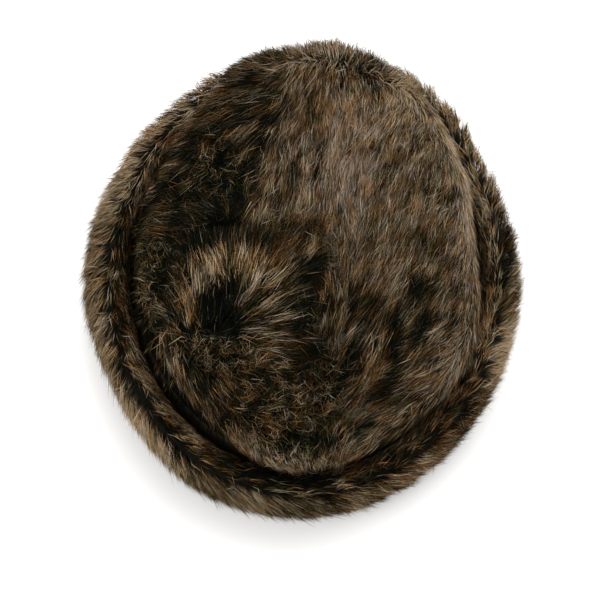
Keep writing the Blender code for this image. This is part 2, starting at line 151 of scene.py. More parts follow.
# How light the pile is, from 0 to 1: the ground and its patches. The patches are partly the pile's own
# colour and partly painted shade and painted light: painted shade at the crown's left front edge over the
# groove and in the dents at its left back, painted light at its right and right back edge where its shoulder
# falls away.
CROWN_TONE = 0.42
TONES_AND_PAINTED_LIGHT = table_of(
    Patch,
    (24, 52, 44, 15, 88, 0.28), (12, 92, 22, 16, 0, 0.04), (60, 25, 50, 26, 75, 0.17),
    (90, 12, 40, 7, 84, 0.28), (70, 76, 24, 9, -43, 0.28), (80, -55, 20, 8, 62, 0.26),
    (55, -85, 16, 7, 25, 0.15), (-64, -22, 17, 5, 105, 0.32), (-40, -6, 18, 5, 8, 0.22),
    (-50, -12, 6, 5, 60, 0.20), (-44, 12, 20, 7, 3, -0.42), (-22, 4, 14, 5, 12, -0.40),
    (-51, 2, 10, 5, 20, -0.40), (-27, 18, 9, 6, 20, 0.22), (6, 27, 8, 6, 0, 0.12),
    (-20, 20, 10, 5, 10, 0.15), (-5, -12, 16, 12, 60, -0.10), (60, -90, 22, 9, 30, -0.10),
    (55, 5, 14, 5, -20, -0.12), (-64, -84, 16, 5, -50, -0.32), (-22, -112, 12, 5, -12, 0.25),
    (-60, 2, 8, 7, 40, -0.45), (-70, -24, 18, 5, 88, -0.25), (-24, -25, 10, 5, 50, -0.15),
    (-6, -113, 20, 5, -3, 0.20), (-34, -103, 12, 5, -28, 0.28), (30, -101, 12, 5, 18, 0.22),
    (84, 46, 20, 8, 112, 0.22), (30, -49, 5, 3, 60, 0.30), (-50, 50, 34, 26, 60, -0.15),
    (-60, 25, 28, 12, 5, -0.15), (-70, 40, 8, 5, 50, -0.25), (-77, -41, 10, 6, -30, -0.30),
    (-53, -91, 17, 5, -42, -0.42), (-86, -42, 12, 5, 120, 0.15), (-32, 98, 18, 9, 30, -0.28),
    (-66, 36, 14, 8, 60, -0.10), (-24, 58, 7, 6, 0, -0.20), (2, 42, 20, 5, 88, 0.22),
    (14, 112, 14, 5, 0, 0.30), (45, 72, 14, 7, 60, 0.16), (-15, -75, 30, 24, 0, -0.15),
    (48, -58, 24, 5, 84, -0.32), (46, -79, 14, 5, 10, -0.20), (-45, -27, 15, 11, 65, -1.0),
    (-42, -16, 7, 4, 85, -0.80), (-31, -38, 12, 6, 12, -0.42), (-3.5, 46, 10, 2, 88, -0.60),
    (7.5, 44, 12, 2, 88, -0.60), (-18, 44, 14, 5, 88, 0.15), (-15, 24, 8, 2, 88, -0.30),
    (36, 95, 8, 3.5, -55, -0.65), (50, 84, 18, 8, -50, 0.24), (44, 66, 8, 6, 0, 0.18),
    (54, 95, 10, 5, -50, 0.18), (80, 64, 10, 7, -45, 0.18), (20, 94, 8, 5, 60, -0.22),
    (66, 40, 16, 6, 30, -0.10), (36, 27, 9, 6, 0, -0.10), (94, -25, 12, 4, 80, 0.18),
    (26, -27, 11, 2.5, 88, -0.48), (34, -28, 7, 4, 0, -0.38), (62, -22, 10, 7, 60, -0.50),
    (63, -43, 10, 6, 60, -0.52), (25.5, -57, 14, 6, 66, -0.46), (9, -57, 9, 6, 0, -0.45),
    (-1, -35, 11, 7, 80, -0.55), (6, -46, 14, 4, 0, -0.25), (27, -45, 6, 2.5, 60, 0.35),
    (6, -12, 14, 4, 80, -0.30), (-42, 54, 9, 5, 80, -0.50), (-26, 60, 5, 4, 0, -0.45),
    (-20, 71, 5, 4, 0, -0.50), (-57, 31, 9, 4, -15, -0.25), (-36, 35, 6, 4, 0, -0.50),
    (-30, 44, 6, 4, 40, -0.40), (-40, 22, 13, 8, 20, -0.25), (-30, 82, 22, 9, 20, -0.18),
    (-70, 57, 8, 3.5, 10, -0.60), (-68, 68, 10, 5, 30, 0.15), (-76, 5, 8, 6, 60, -0.12),
    (-76, -14, 10, 6, 90, -0.30), (-71, 20, 6, 4, 0, -0.30), (-58, -56, 10, 4, -45, -0.30),
    (-42, -48, 14, 5, 0, -0.50), (-40, -58, 8, 4, 0, -0.40), (-74, -10, 26, 11, 90, -0.15),
    (-24, -67, 7, 3, 5, -0.50), (-25, -81, 9, 2.5, -5, -0.30), (-44, -84, 12, 3, -50, -0.30),
    (5, -100, 12, 4, 0, -0.60), (20, -67, 5, 4, 0, -0.30), (12, -88, 10, 3, 10, -0.40),
    (28, -93, 9, 3, 0, -0.40), (4, 86, 6, 4, 80, -0.25), (-6, -110, 20, 4, 0, 0.12),
    (-15, 87, 5, 8, 0, -0.12), (-6, 90, 5, 10, 0, 0.15), (-8, -7, 12, 5, -10, -0.22),
    (-55, -1, 10, 4, 20, -0.20), (-30, -32, 5, 5, 0, 0.12), (5, -27, 5, 7, 0, 0.20),
    (80, -15, 5, 12, 0, -0.18), (56, -92, 10, 5, 8, -0.20), (80, -80, 10, 6, 50, -0.15),
    (-55, -84, 14, 4, -45, -0.20), (-70, 60, 6, 4, 0, -0.25), (6, 116, 16, 5, 0, 0.25),
    (-18, 110, 6, 5, 0, -0.28), (36, 109, 8, 4, -10, -0.14), (12, -75, 5, 8, 0, -0.22),
    (28, -79, 8, 4, 0, -0.20), (0, -107, 8, 5, 0, 0.20), (-66, -71, 8, 5, -45, -0.15),
    (6, -117, 16, 4, 2, -0.35), (-1, -121, 14, 4, 2, -0.45), (2, -117, 16, 5, 0, -0.18),
    (6, -101, 20, 4.5, 4, -0.34), (24, -92, 6, 5, 0, -0.20), (-20, -86, 10, 3, 0, -0.20),
    (-30, -109, 11, 4, -32, -0.34), (-22, -119, 9, 3, -12, 0.25), (-65, 85, 6, 5, 0, 0.28),
    (-48, 96, 7, 5, 20, 0.28), (-18, 104, 15, 4, 5, 0.22), (31, 96, 5, 5, 0, -0.22),
    (33, 108, 8, 5, -20, -0.15), (56, 97, 8, 5, -40, 0.15), (73, 83, 4, 4, 0, -0.25),
    (82, 62, 5, 4, 0, 0.22), (87, 50, 4, 4, 0, 0.18), (78, -72, 6, 5, 50, -0.20),
    (-78, -60, 14, 10, -60, -0.10), (-40, 32, 4, 6, 0, -0.20), (-17, 67, 5, 4, 0, -0.24),
    (-60, 16, 14, 5, 20, -0.12), (-25, -55, 4, 6, 0, 0.20), (-64, -17, 4, 5, 0, 0.14),
    (-67, -33, 4, 7, 10, 0.14), (-50, -22, 4, 5, 0, 0.14), (-2, -34, 9, 3, 0, -0.14),
    (60, 20, 24, 22, 80, -0.06), (68, -4, 4, 4, 0, -0.18), (28, -14, 6, 4, 0, 0.14),
    (16, -85, 6, 4, 30, 0.14), (-57, 42, 5, 6, 0, -0.20), (-48, 45, 5, 6, 0, -0.20),
    (-26, 26, 4, 7, 0, -0.18), (48, 38, 5, 12, -20, -0.15), (-87, 46, 6, 7, 0, 0.25),
    (83, 56, 12, 4, 120, 0.25), (-38, -18, 6, 5, 0, -0.25), (-22, -18, 5, 5, 0, 0.25),
    (-38, -46, 4, 6, 0, 0.20), (-34, 71, 8, 5, 50, -0.25), (-17, 55, 7, 6, 0, -0.18),
    (-82, -12, 5, 5, 0, -0.20), (-79, -32, 7, 4, 0, -0.22), (-68, -72, 7, 5, -45, -0.20),
    (-22, -60, 5, 7, 0, -0.22), (2, 104, 8, 5, 0, -0.18), (11, -30, 4, 14, 0, -0.14),
    (-10, 11, 10, 5, 0, -0.20), (-33, -6, 5, 8, 0, -0.20), (47, -52, 5, 12, 0, -0.22),
    (90, -52, 10, 5, 50, -0.18), (-62, 42, 6, 8, 0, 0.18), (-32, 64, 6, 6, 0, 0.16),
    (-76, 38, 16, 4, 55, -0.48), (-87, 8, 16, 4, 85, -0.28), (-84, 46, 12, 5, 50, 0.25),
    (10, 104, 46, 5, -2, 0.18), (86, 20, 34, 5, 86, 0.15), (0, 24, 9, 8, 0, 0.12),
    (10, -10, 8, 7, 0, -0.22), (-8, -43, 16, 5, 0, -0.18), (-42, -37, 10, 5, 60, -0.30),
    (28, -46, 8, 4, 60, -0.15), (40, -73, 9, 4, 60, -0.30), (70, -70, 7, 5, 0, 0.10),
    (38, -55, 9, 3, 65, 0.20), (70, -44, 16, 7, 80, 0.12), (81, -42, 8, 4, 60, -0.25),
    (20, -9, 4, 5, 0, 0.15), (68, -11, 9, 4, 0, 0.20), (46, -22, 4, 8, 0, 0.18),
    (-15, -60, 6, 6, 0, 0.25), (-68, -64, 14, 6, -50, 0.20), (-52, -83, 5, 5, 0, 0.22),
    (-48, -48, 22, 3, 0, 0.22), (70, 30, 14, 6, 0, -0.12), (83, -58, 16, 6, 60, 0.15),
    (8, -121, 18, 4, 3, -0.55), (-57, 68, 10, 6, 30, -0.28), (-22, 56, 6, 5, 0, -0.25),
    (-44, 36, 10, 4, -35, -0.35), (-8, 48, 10, 3, 88, 0.18), (5, 12, 7, 5, 0, -0.28),
    (-20, 1, 6, 5, 0, -0.20), (-55, 0, 6, 6, 0, -0.25), (-22, -14, 7, 5, 60, 0.20),
    (2, -21, 9, 6, 60, -0.30), (13, -29, 6, 8, 0, -0.22), (45, -34, 7, 6, 0, -0.30),
    (30, -39, 8, 4, 0, -0.30), (69, -56, 7, 7, 0, -0.20), (66, 2, 12, 5, -40, -0.22),
    (69, -92, 9, 5, 20, -0.40), (37, -104, 7, 5, 0, -0.25), (32, 54, 9, 6, 0, -0.10),
    (-2, -61, 12, 8, 60, -0.25), (-54, -68, 16, 8, -50, -0.30), (-30, -87, 10, 7, -40, -0.22),
    (-68, -10, 6, 8, 0, -0.22), (-60, -34, 6, 8, 0, -0.20), (-89, -46, 9, 4, 110, -0.30),
)

# The share of orange-brown and of mauve-grey strands among the neutral ones.
CROWN_WARM = 0.25
WARMS = table_of(
    Patch,
    (-15, -75, 32, 24, 0, 0.35), (10, -20, 10, 8, 60, 0.50), (42, -60, 24, 6, 80, 0.60),
    (-64, -22, 18, 6, 105, 0.50), (-36, -2, 26, 8, 3, 0.30), (-10, 0, 20, 10, 30, 0.40),
    (18, 75, 16, 20, 80, 0.30), (-60, 60, 30, 20, 40, 0.20), (36, -34, 8, 6, 0, 0.50),
    (-45, -29, 18, 11, 88, -0.30),
)
CROWN_MAUVE = 0.20
MAUVES = table_of(
    Patch,
    (24, 50, 44, 18, 88, 0.60), (86, 10, 44, 10, 82, 0.40), (75, -55, 30, 16, 60, 0.30),
    (0, -112, 24, 7, 0, 0.20), (-8, 60, 20, 14, 88, 0.40), (-45, -29, 13, 10, 88, 0.35),
    (-42, -4, 22, 8, 5, -0.20), (-64, -22, 18, 7, 105, -0.25), (-10, -10, 24, 12, 40, -0.15),
)

# Where the pile is matted into short curls, from 0 to 1.
MESSES = table_of(
    Patch,
    (-40, 50, 22, 15, 90, 1.0), (-60, 32, 10, 8, 0, 1.0), (-73, -8, 24, 11, 90, 1.0),
    (-10, -78, 30, 20, 0, 0.75), (-4, -102, 18, 6, 0, 1.0), (20, -60, 14, 12, 0, 0.6),
    (0, -35, 12, 8, 90, 0.7), (-44, -52, 18, 7, -10, 1.0),
)

# Where the pile is long and stands in loose locks, from 0 to 1. Elsewhere it is smooth.
ROUGHS = table_of(
    Patch,
    (-45, -28, 30, 26, 90, 1.0), (-10, -30, 24, 24, 0, 0.9), (-75, -50, 40, 18, -60, 0.8),
    (30, -50, 20, 14, 90, 0.7), (-40, 60, 40, 24, 60, 0.6),
)

# The nap of the crown at chosen spots: where, and the heading of the tips from +X.
Nap = namedtuple("Nap", "x y heading")
NAPS = table_of(
    Nap,
    (22, 84, 270), (22, 29, 268), (-2, 56, 265), (3, 95, 262), (-7, 29, 258),
    (51, 73, 243), (67, 29, 240), (78, -15, 235), (72, -48, 222), (67, -76, 195),
    (46, -92, 203), (83, 12, 243), (51, 7, 245), (40, 40, 254), (35, -26, 240),
    (8, -26, 260), (30, -45, 245), (-66, -18, 122), (-62, -38, 118), (-54, -40, 108),
    (-55, -18, 106), (-47, -30, 94), (-46, -8, 93), (-37, -20, 80), (-36, -4, 86),
    (-26, -15, 60), (-30, -34, 28), (-13, -26, 32), (-18, -43, 8), (-7, 1, 50),
    (-30, -51, 340), (-62, -54, 292), (-45, -56, 300), (-55, -70, 300), (-77, -70, 305),
    (-39, -105, 300), (-62, -90, 303), (-15, -112, 268), (10, -115, 272), (45, -104, 212),
    (65, -92, 200), (20, -70, 230), (-10, -85, 355), (-20, -62, 20), (-39, 78, 208),
    (-34, 95, 192), (-60, 70, 196), (-45, 50, 230), (-75, 30, 190), (-80, 0, 200),
    (-78, -35, 285), (-22, 121, 110), (0, 122, 95), (28, 121, 80), (62, 107, 50),
)

# How far the patches' edges wander, and how much the shares of the hues vary from place to place.
PATCH_SHIFT = 1.8 * MM
HUE_SHIFT = 0.52

# Below this tone the pile loses its orange-brown and gains grey, so that the black patches are cold. How
# fast it does, and the most that either share can be.
BLACK_TONE = 0.18
BLACK_WARM = 4
BLACK_MAUVE = 2
WARM_MOST = 0.9
MAUVE_MOST = 0.8

# At a place the spots of the nap count the more the nearer they are. They fall off over this distance,
# the nearest one is held back by so much, and each strand reads its heading about so far from its root.
NAP_REACH = 11 * MM
NAP_SOFTNESS = 0.05
NAP_BLUR = 3.5 * MM

# How steeply the nap of the crown points down, and how far its skirt's turns down more.
NAP_FALL = 0.2
SKIRT_HANG = 0.7

# The black stripe along the cuff, by azimuth: how far outside the head oval it lies, its half-width in
# millimetres, and how much it darkens the pile there.
Stripe = namedtuple("Stripe", "azimuth out half_out dark")
STRIPE = table_of(
    Stripe,
    (0, 27, 3.2, 0.28), (12, 28, 3.2, 0.28), (28, 19, 5, 0.05), (70, 24, 5, 0.0),
    (105, 20, 6, 0.15), (125, 16, 6, 0.20), (143, 14, 6, 0.20), (156, 14, 5, 0.18),
    (170, 15, 7, 0.50), (184, 17, 4, 0.12), (200, 22, 5, 0.45), (213, 27, 4, 0.55),
    (229, 26, 4, 0.60), (238, 29, 4.5, 0.62), (248, 33, 4, 0.42), (257, 34, 4, 0.10),
    (266, 35, 4, 0.30), (276, 35, 4, 0.38), (282, 31, 4, 0.10), (289, 28, 5, 0.40),
    (298, 27, 5, 0.45), (312, 24, 4, 0.15), (325, 23, 6, 0.50), (336, 22, 4, 0.10),
    (345, 22, 5, 0.0), (352, 27, 3.2, 0.28),
)

# Patches of the cuff: the azimuth, how far outside the head oval, the half-widths both ways, the gain.
BandPatch = namedtuple("BandPatch", "azimuth out half_turn half_out gain")
CUFF_TONE = 0.44
# The cuff's tone patches are partly its own colour and partly painted light: painted shade on its inner face
# at the front, in the groove, and painted light on its inner face at the back left, where the crown shades
# it.
CUFF_TONES_AND_PAINTED_LIGHT = table_of(
    BandPatch,
    (225, 37, 20, 8, 0.32), (290, 20, 9, 8, -0.20), (322, 36, 9, 7, -0.32),
    (326, 22, 10, 6, 0.22), (222, 31, 7, 4, 0.20), (240, 42, 18, 7, 0.34),
    (288, 36, 10, 5, -0.12), (233, 25, 5, 4, -0.40), (234, 17, 8, 4, 0.18),
    (100, 16, 6, 8, -0.15), (297, 32, 5, 6, 0.20), (283, 27, 4, 5, 0.15),
    (128, 14, 7, 6, 0.25), (126, 20, 6, 6, 0.26), (116, 18, 7, 7, 0.24),
    (146, 18, 8, 6, 0.22), (358, 14.5, 18, 5, -0.36), (347, 28, 6, 5, -0.18),
    (19, 18, 6, 5, 0.16), (310, 22, 8, 4, -0.20), (291, 31, 7, 5, -0.12),
    (306, 26, 5, 5, 0.14), (270, 21, 8, 4, -0.18), (5, 23, 9, 4, 0.20),
    (342, 32, 7, 6, 0.18), (323, 30, 5, 5, 0.16), (328, 39, 6, 5, -0.32),
    (315, 37, 6, 6, -0.25), (40, 16, 22, 7, 0.22), (252, 34, 12, 6, 0.18),
    (292, 33, 9, 6, 0.15), (212, 27, 14, 9, 0.16), (195, 26, 9, 7, 0.15),
    (311, 37, 9, 6, -0.28), (8, 27, 8, 5, -0.12), (337, 33, 8, 6, 0.20),
    (294, 37, 8, 6, 0.15), (310, 28, 12, 10, -0.08), (237, 36, 8, 8, 0.14),
    (125, 18, 22, 8, 0.18), (325, 30, 10, 8, 0.14), (245, 38, 14, 7, 0.10),
    (288, 37, 18, 8, 0.16), (150, 28, 18, 12, 0.32), (180, 26, 9, 8, 0.15),
    (241, 25, 8, 4, 0.22), (262, 21, 18, 5, -0.50), (272, 27, 18, 4, 0.14),
    (274, 34, 9, 6, -0.12), (160, 14, 16, 5, 0.20), (6, 19, 24, 5, 0.14),
    (300, 34, 16, 7, 0.18), (30, 24, 12, 8, 0.20), (60, 26, 14, 8, 0.22),
    (90, 24, 18, 10, 0.12), (120, 24, 14, 12, 0.10), (345, 24, 11, 12, 0.22),
    (50, 26, 24, 12, 0.14),
)
CUFF_WARM = 0.30
CUFF_WARMS = table_of(
    BandPatch,
    (305, 25, 24, 9, 0.35), (350, 15, 14, 6, 0.40), (220, 16, 60, 6, 0.20),
    (60, 28, 40, 12, 0.20), (128, 24, 26, 12, 0.20),
)
CUFF_MAUVE = 0.18
CUFF_OLIVE = 0.5

# The cuff's rim is lighter by so much, a painted light where its outer tips catch the light, over this
# stretch outside the head oval.
PAINTED_RIM_LIGHT = 0.10
RIM_START = 29 * MM
RIM_WIDTH = 7 * MM

# How the cuff's nap runs on its inner and its outer face: round the hat, away from it, and down.
Lean = namedtuple("Lean", "around away down")
CUFF_NAP_INNER = Lean(1.0, -0.10, 0.2)
CUFF_NAP_OUTER = Lean(0.75, 1.0, 0.6)

# How outer a place of the cuff is, from 0 to 1: so much where its normal points up, and so much more where
# it points away from the hat.
OUTER_START = 0.35
OUTER_GAIN = 0.75

# How finely the backings are cut up.
CROWN_RINGS = 28
SKIRT_RINGS = 6
SEAM_RINGS = 2
EDGE_CROWDING = 1.3
SIDE_COLUMNS = 96
CUFF_COLUMNS = 144
CUFF_FOOT_ROWS = 5
CUFF_LOWER_ROWS = 9
CUFF_UPPER_ROWS = 15
CUFF_INNER_ROWS = 9

# The sheets that strands are sown on: their columns, and for the crown's its first ring and rows a ring.
SHEET_COLUMNS = 360
SHEET_START = 0.2
SHEET_FINENESS = 3

# The rows of the cuff in the groove that bear no pile, and how many rows below its top the crest's begins.
BARE_ROWS = 3
CREST_ROWS = 3

# Corners that are nearer to each other than this are one.
WELD = 0.001 * MM

# The names of the UV maps: the knit's, the pile's, and a second copy of the pile's.
KNIT_MAP = "Knit"
FUR_MAP = "Fur"
BAKE_MAP = "OFBake"

# The dyes of the pile, each from its darkest tone to its lightest: olive, rust, mauve-grey and brown.
DYES = (
    (
        (0.0060, 0.0070, 0.0032),
        (0.0155, 0.0162, 0.0060),
        (0.081, 0.0745, 0.030),
        (0.255, 0.218, 0.112),
        (0.62, 0.515, 0.32),
    ),
    (
        (0.0084, 0.0062, 0.0021),
        (0.034, 0.0170, 0.0048),
        (0.162, 0.073, 0.022),
        (0.358, 0.193, 0.077),
        (0.64, 0.43, 0.235),
    ),
    (
        (0.0064, 0.0082, 0.0074),
        (0.0210, 0.0210, 0.0150),
        (0.120, 0.089, 0.065),
        (0.338, 0.260, 0.195),
        (0.68, 0.55, 0.44),
    ),
    (
        (0.0074, 0.0068, 0.0026),
        (0.0210, 0.0180, 0.0060),
        (0.107, 0.073, 0.033),
        (0.308, 0.218, 0.123),
        (0.66, 0.505, 0.35),
    ),
)
OLIVE, RUST, MAUVE, BROWN = range(len(DYES))
DYE_MARGIN = 0.04

# The colour of the roots, which cover the backing, darkened with painted shade as deep under the pile.
# Its map is so many metres further on there.
ROOT_AND_SHADE_COLOUR = (0.0030, 0.0028, 0.0016)
UNDER_PILE = 4.0

# How much the pile, its backing and the floor mirror, and how dull the last two are.
FUR_SPECULAR = 0.0
KNIT_SPECULAR = 0.05
FLOOR_SPECULAR = 0.1
KNIT_ROUGHNESS = 0.9
FLOOR_ROUGHNESS = 0.9

# The knit: how far the legs of a stitch lean and sink, the fineness of its fibres and of its blotches, how
# dark its gaps are with painted shade and how pale its ridges are with painted light against its colour, and
# its relief.
STITCH_LEAN = 0.9
STITCH_SINK = 1.2
FIBRE_SCALE = 900.0
BLOTCH_SCALE = 45.0
KNIT_DARK = 0.35
KNIT_PALE = 1.5
RELIEF_STRENGTH = 0.7
RELIEF_DEPTH = 0.6 * MM

# Light along a strand, from the root to the tip.
ROOT_SHADE = ((0.0, 0.05), (0.30, 0.25), (0.7, 0.72), (1.0, 0.80))

# Blotches of the pile are sums of this many waves, with lengths between these shares of the mean one.
MOTTLE_WAVES = 20
MOTTLE_LENGTHS = (0.7, 1.6)
MOTTLE_GAIN = 0.7
SEED = 23

# How wide the blotches are: those of hue, which shift the patches too, of tone, and of fine tone.
HUE_BLOTCH = 8 * MM
TONE_BLOTCH = 9 * MM
FINE_BLOTCH = 4 * MM

# How many strands each part of the pile has.
STRANDS = {
    "crown_fur_left": 26500,
    "crown_fur_right": 24500,
    "crown_fur_front": 20000,
    "crown_curls": 11000,
    "crown_skirt_fur": 4500,
    "cuff_fur_front": 24000,
    "cuff_fur_back": 17000,
    "cuff_crest_fur": 21500,
}

# The planes that part the crown's pile into left, right and front. The share of it that curls replace
# where it is matted. No end of a strand hangs below this height, and each strand's colour is read about so
# far from it.
LEFT_PLANE = -8 * MM
BACK_PLANE = 10 * MM
CURL_COVER = 0.9
CROWN_FLOOR = 40 * MM
CROWN_BLUR = 1.1 * MM

# Pairs for the crown where its pile is sleek and where it is rough: how far its locks draw together and
# stand apart, its length and width as shares of the panel's, its blotches, how much its tones vary, and how
# alike they are in a lock.
ROUGH_PULL = (0.2, 1.0)
ROUGH_SPREAD = (2.2, 1.0)
ROUGH_LENGTH = (0.75, 1.0)
ROUGH_WIDTH = (0.75, 0.95)
ROUGH_BLOTCHES = (0.12, 0.22)
ROUGH_TONES = (0.28, 0.34)
ROUGH_ALIKE = (0.05, 0.5)

# Pairs for the crown where its pile is combed and where it is matted: its length and width, the lifts of
# its roots and its tips off the backing, its jitter and curl in radians, how far its nap sways, its fine
# blotches, and the share of olive among its neutral strands. Matted pile is darker, with less mauve.
MESS_LENGTH = (1.0, 0.55)
MESS_WIDTH = (1.0, 0.75)
MESS_LIFTS = ((0.50, 0.85), (0.14, 0.30))
MESS_JITTER = (0.14, 0.4)
MESS_CURL = (0.2, 1.6)
MESS_SWAY = (0.15, 1.2)
MESS_BLOTCHES = (0.04, 0.40)
MESS_OLIVE = (0.4, 0.8)
MESS_DARK = 0.14
MESS_MAUVE = 0.7

# The curls: their length, their lifts, jitter and curl in radians, their joints, and their width as a
# share of the panel's.
CURL_LENGTH = 9 * MM
CURL_LIFTS = (0.8, 0.0)
CURL_JITTER = 0.5
CURL_BEND = 4.0
CURL_JOINTS = 3
CURL_WIDTH = 0.62

# The pile is shorter at the crown's edge, from this share of its radius over this width, and on its skirt,
# which is darker too with painted shade, as it lies in the groove under the crown's puffed edge.
EDGE_START = 0.85
EDGE_WIDTH = 0.12
EDGE_LENGTH = (1.0, 0.8)
SKIRT_LENGTH = (1.0, 0.7)
SKIRT_PAINTED_SHADE = 0.25

# Pairs for the cuff on its inner and its outer face: its length as a share of the panel's, and the lifts
# of its roots and its tips. Then its jitter, curl, sway and lowest height, how far off its colour is read,
# its blotches, its width as a share of the panel's, how much its tones vary, and how alike they are.
CUFF_LENGTH = (0.7, 1.0)
CUFF_LIFTS = ((0.35, 0.6), (0.1, 0.3))
CUFF_JITTER = 0.25
CUFF_CURL = 0.5
CUFF_SWAY = 0.3
CUFF_FLOOR = 0.5 * MM
CUFF_BLUR = 0.9 * MM
CUFF_BLOTCHES = 0.10
CUFF_FINE_BLOTCHES = 0.08
CUFF_WIDTH = 0.85
CUFF_TONES_VARY = 0.28
CUFF_ALIKE = 0.3


def steps(start, end, count):
    """count numbers that lead on from start and finish at end."""
    return start + (end - start) * np.arange(1, count + 1) / count


def unit(vectors):
    """The vectors at length 1. One of no length stays as it is."""
    return vectors / np.maximum(np.linalg.norm(vectors, axis=-1, keepdims=True), 1e-12)


def mix(a, b, share):
    return a + (b - a) * share


def turns(count):
    """So many even directions round the hat, in radians."""
    return np.arange(count) / count * math.tau


def head_radius(azimuth):
    """The head oval's radius in these directions."""
    return 1 / np.hypot(np.cos(azimuth) / HEAD_HALF_WIDTH, np.sin(azimuth) / HEAD_HALF_LENGTH)


def outside(azimuth, out, height):
    """The points this far outside the head oval, at this height."""
    radius = head_radius(azimuth) + out
    x = radius * np.cos(azimuth)
    y = radius * np.sin(azimuth)
    return np.stack(np.broadcast_arrays(x, y, height), axis=-1)


def section_at(azimuth):
    """The sections in these directions, in metres, on a closed smooth curve through the table's rows."""
    table = np.array(SECTIONS) * MM
    place = np.asarray(azimuth) / math.tau % 1 * len(table)
    first = np.floor(place).astype(int)
    t = (place - first)[..., None]
    before, start, end, after = (table[(first + k) % len(table)] for k in (-1, 0, 1, 2))
    slope_in = (end - before) / 2
    slope_out = (after - start) / 2
    bend = 3 * (end - start) - 2 * slope_in - slope_out
    twist = 2 * (start - end) + slope_in + slope_out
    curve = start + slope_in * t + bend * t**2 + twist * t**3
    return Section(*np.moveaxis(curve, -1, 0))


def patch_distance(x, y, patch):
    """The squared distance from a patch's middle, 1 at its half-lengths."""
    turn = math.radians(patch.turn)
    dx = x - patch.x * MM
    dy = y - patch.y * MM
    along = (dx * math.cos(turn) + dy * math.sin(turn)) / (patch.along * MM)
    across = (dy * math.cos(turn) - dx * math.sin(turn)) / (patch.across * MM)
    return along**2 + across**2


def swell_height(x, y):
    return sum(p.gain * MM * np.exp(-patch_distance(x, y, p)) for p in SWELLS)


def patch_sum(x, y, patches):
    """The sum of the patches at these places. Each is flat in its middle and soft at its edge."""
    return sum(p.gain * np.exp(-patch_distance(x, y, p) ** 2) for p in patches)


def band_sum(azimuth, out, patches):
    total = 0.0
    for patch in patches:
        turn = (np.degrees(azimuth) - patch.azimuth + 180) % 360 - 180
        away = (turn / patch.half_turn) ** 2 + ((out / MM - patch.out) / patch.half_out) ** 2
        total = total + patch.gain * np.exp(-(away**2))
    return total


def stripe_dark(azimuth, out):
    """How much the cuff's stripe darkens the pile at these places."""
    stripe = np.array(STRIPE)
    turn = np.degrees(azimuth)
    middle, half_out, dark = (np.interp(turn, stripe[:, 0], stripe[:, k], period=360) for k in (1, 2, 3))
    return dark * np.exp(-(((out / MM - middle) / half_out) ** 4))


def mottle(points, wavelength, seed):
    """Smooth random blotches about this far apart, from about -1 to 1."""
    draw = np.random.default_rng(seed)
    total = np.zeros(len(points))
    for _ in range(MOTTLE_WAVES):
        way = unit(draw.normal(size=3)) * math.tau / (wavelength * draw.uniform(*MOTTLE_LENGTHS))
        total += np.sin(points @ way + draw.random() * math.tau)
    return total / math.sqrt(MOTTLE_WAVES / 2) * MOTTLE_GAIN


def dome(share, roundness):
    return np.maximum(0.0, 1 - share**roundness) ** (1 / roundness)


def crown_edge(azimuth):
    """How far outside the head oval the crown's backing ends in these directions, and its height."""
    section = section_at(azimuth)
    places, inside = np.array(EDGE_SINKS).T
    sink = np.interp(np.degrees(azimuth), places, inside, period=360) * MM
    return section.edge_out - sink, section.edge_up - CROWN_SINK / 2


def crown_point(azimuth, share):
    """Points on the crown's puffed backing, from its middle at share 0 to its edge at share 1."""
    edge_out, edge_up = crown_edge(azimuth)
    radius = (head_radius(azimuth) + edge_out) * share
    x = radius * np.cos(azimuth)
    y = radius * np.sin(azimuth)
    top = CROWN_TOP - CROWN_SINK + SLOPE_RIGHT * x + SLOPE_BACK * y + swell_height(x, y)
    return np.stack((x, y, edge_up + (top - edge_up) * dome(share, SHOULDER_ROUND)), axis=-1)


def skirt_point(azimuth, fall):
    """Points on the backing's outer skirt, from its puffed edge at fall 0 to the seam at fall 1."""
    edge_out, edge_up = crown_edge(azimuth)
    out = edge_out + (SIDE_HEAD - edge_out) * fall * fall * (3 - 2 * fall)
    return outside(azimuth, out, edge_up + (SEAM_HEIGHT + GAP - edge_up) * fall)


def hollow_point(azimuth, share):
    """Points on the hollow's dome, from its middle at share 0 to the sewn edge at share 1."""
    radius = head_radius(azimuth) * share
    height = SEAM_HEIGHT + (HOLLOW_TOP - SEAM_HEIGHT) * dome(share, HOLLOW_ROUND) + GAP
    return np.stack((radius * np.cos(azimuth), radius * np.sin(azimuth), height), axis=-1)


def crown_sheet_point(azimuth, ring):
    """Points of the crown's outside by ring: over the top, down the skirt, and in along the seam."""
    share = 1 - (1 - np.minimum(ring / CROWN_RINGS, 1.0)) ** EDGE_CROWDING
    top = crown_point(azimuth, share)
    fall = np.clip((ring - CROWN_RINGS) / SKIRT_RINGS, 0.0, 1.0)
    skirt = skirt_point(azimuth, fall)
    inward = np.clip((ring - CROWN_RINGS - SKIRT_RINGS) / SEAM_RINGS, 0.0, 1.0)
    seam = outside(azimuth, SIDE_HEAD * (1 - inward), SEAM_HEIGHT + GAP)
    points = np.where((ring <= CROWN_RINGS)[..., None], top, skirt)
    return np.where((inward > 0)[..., None], seam, points)


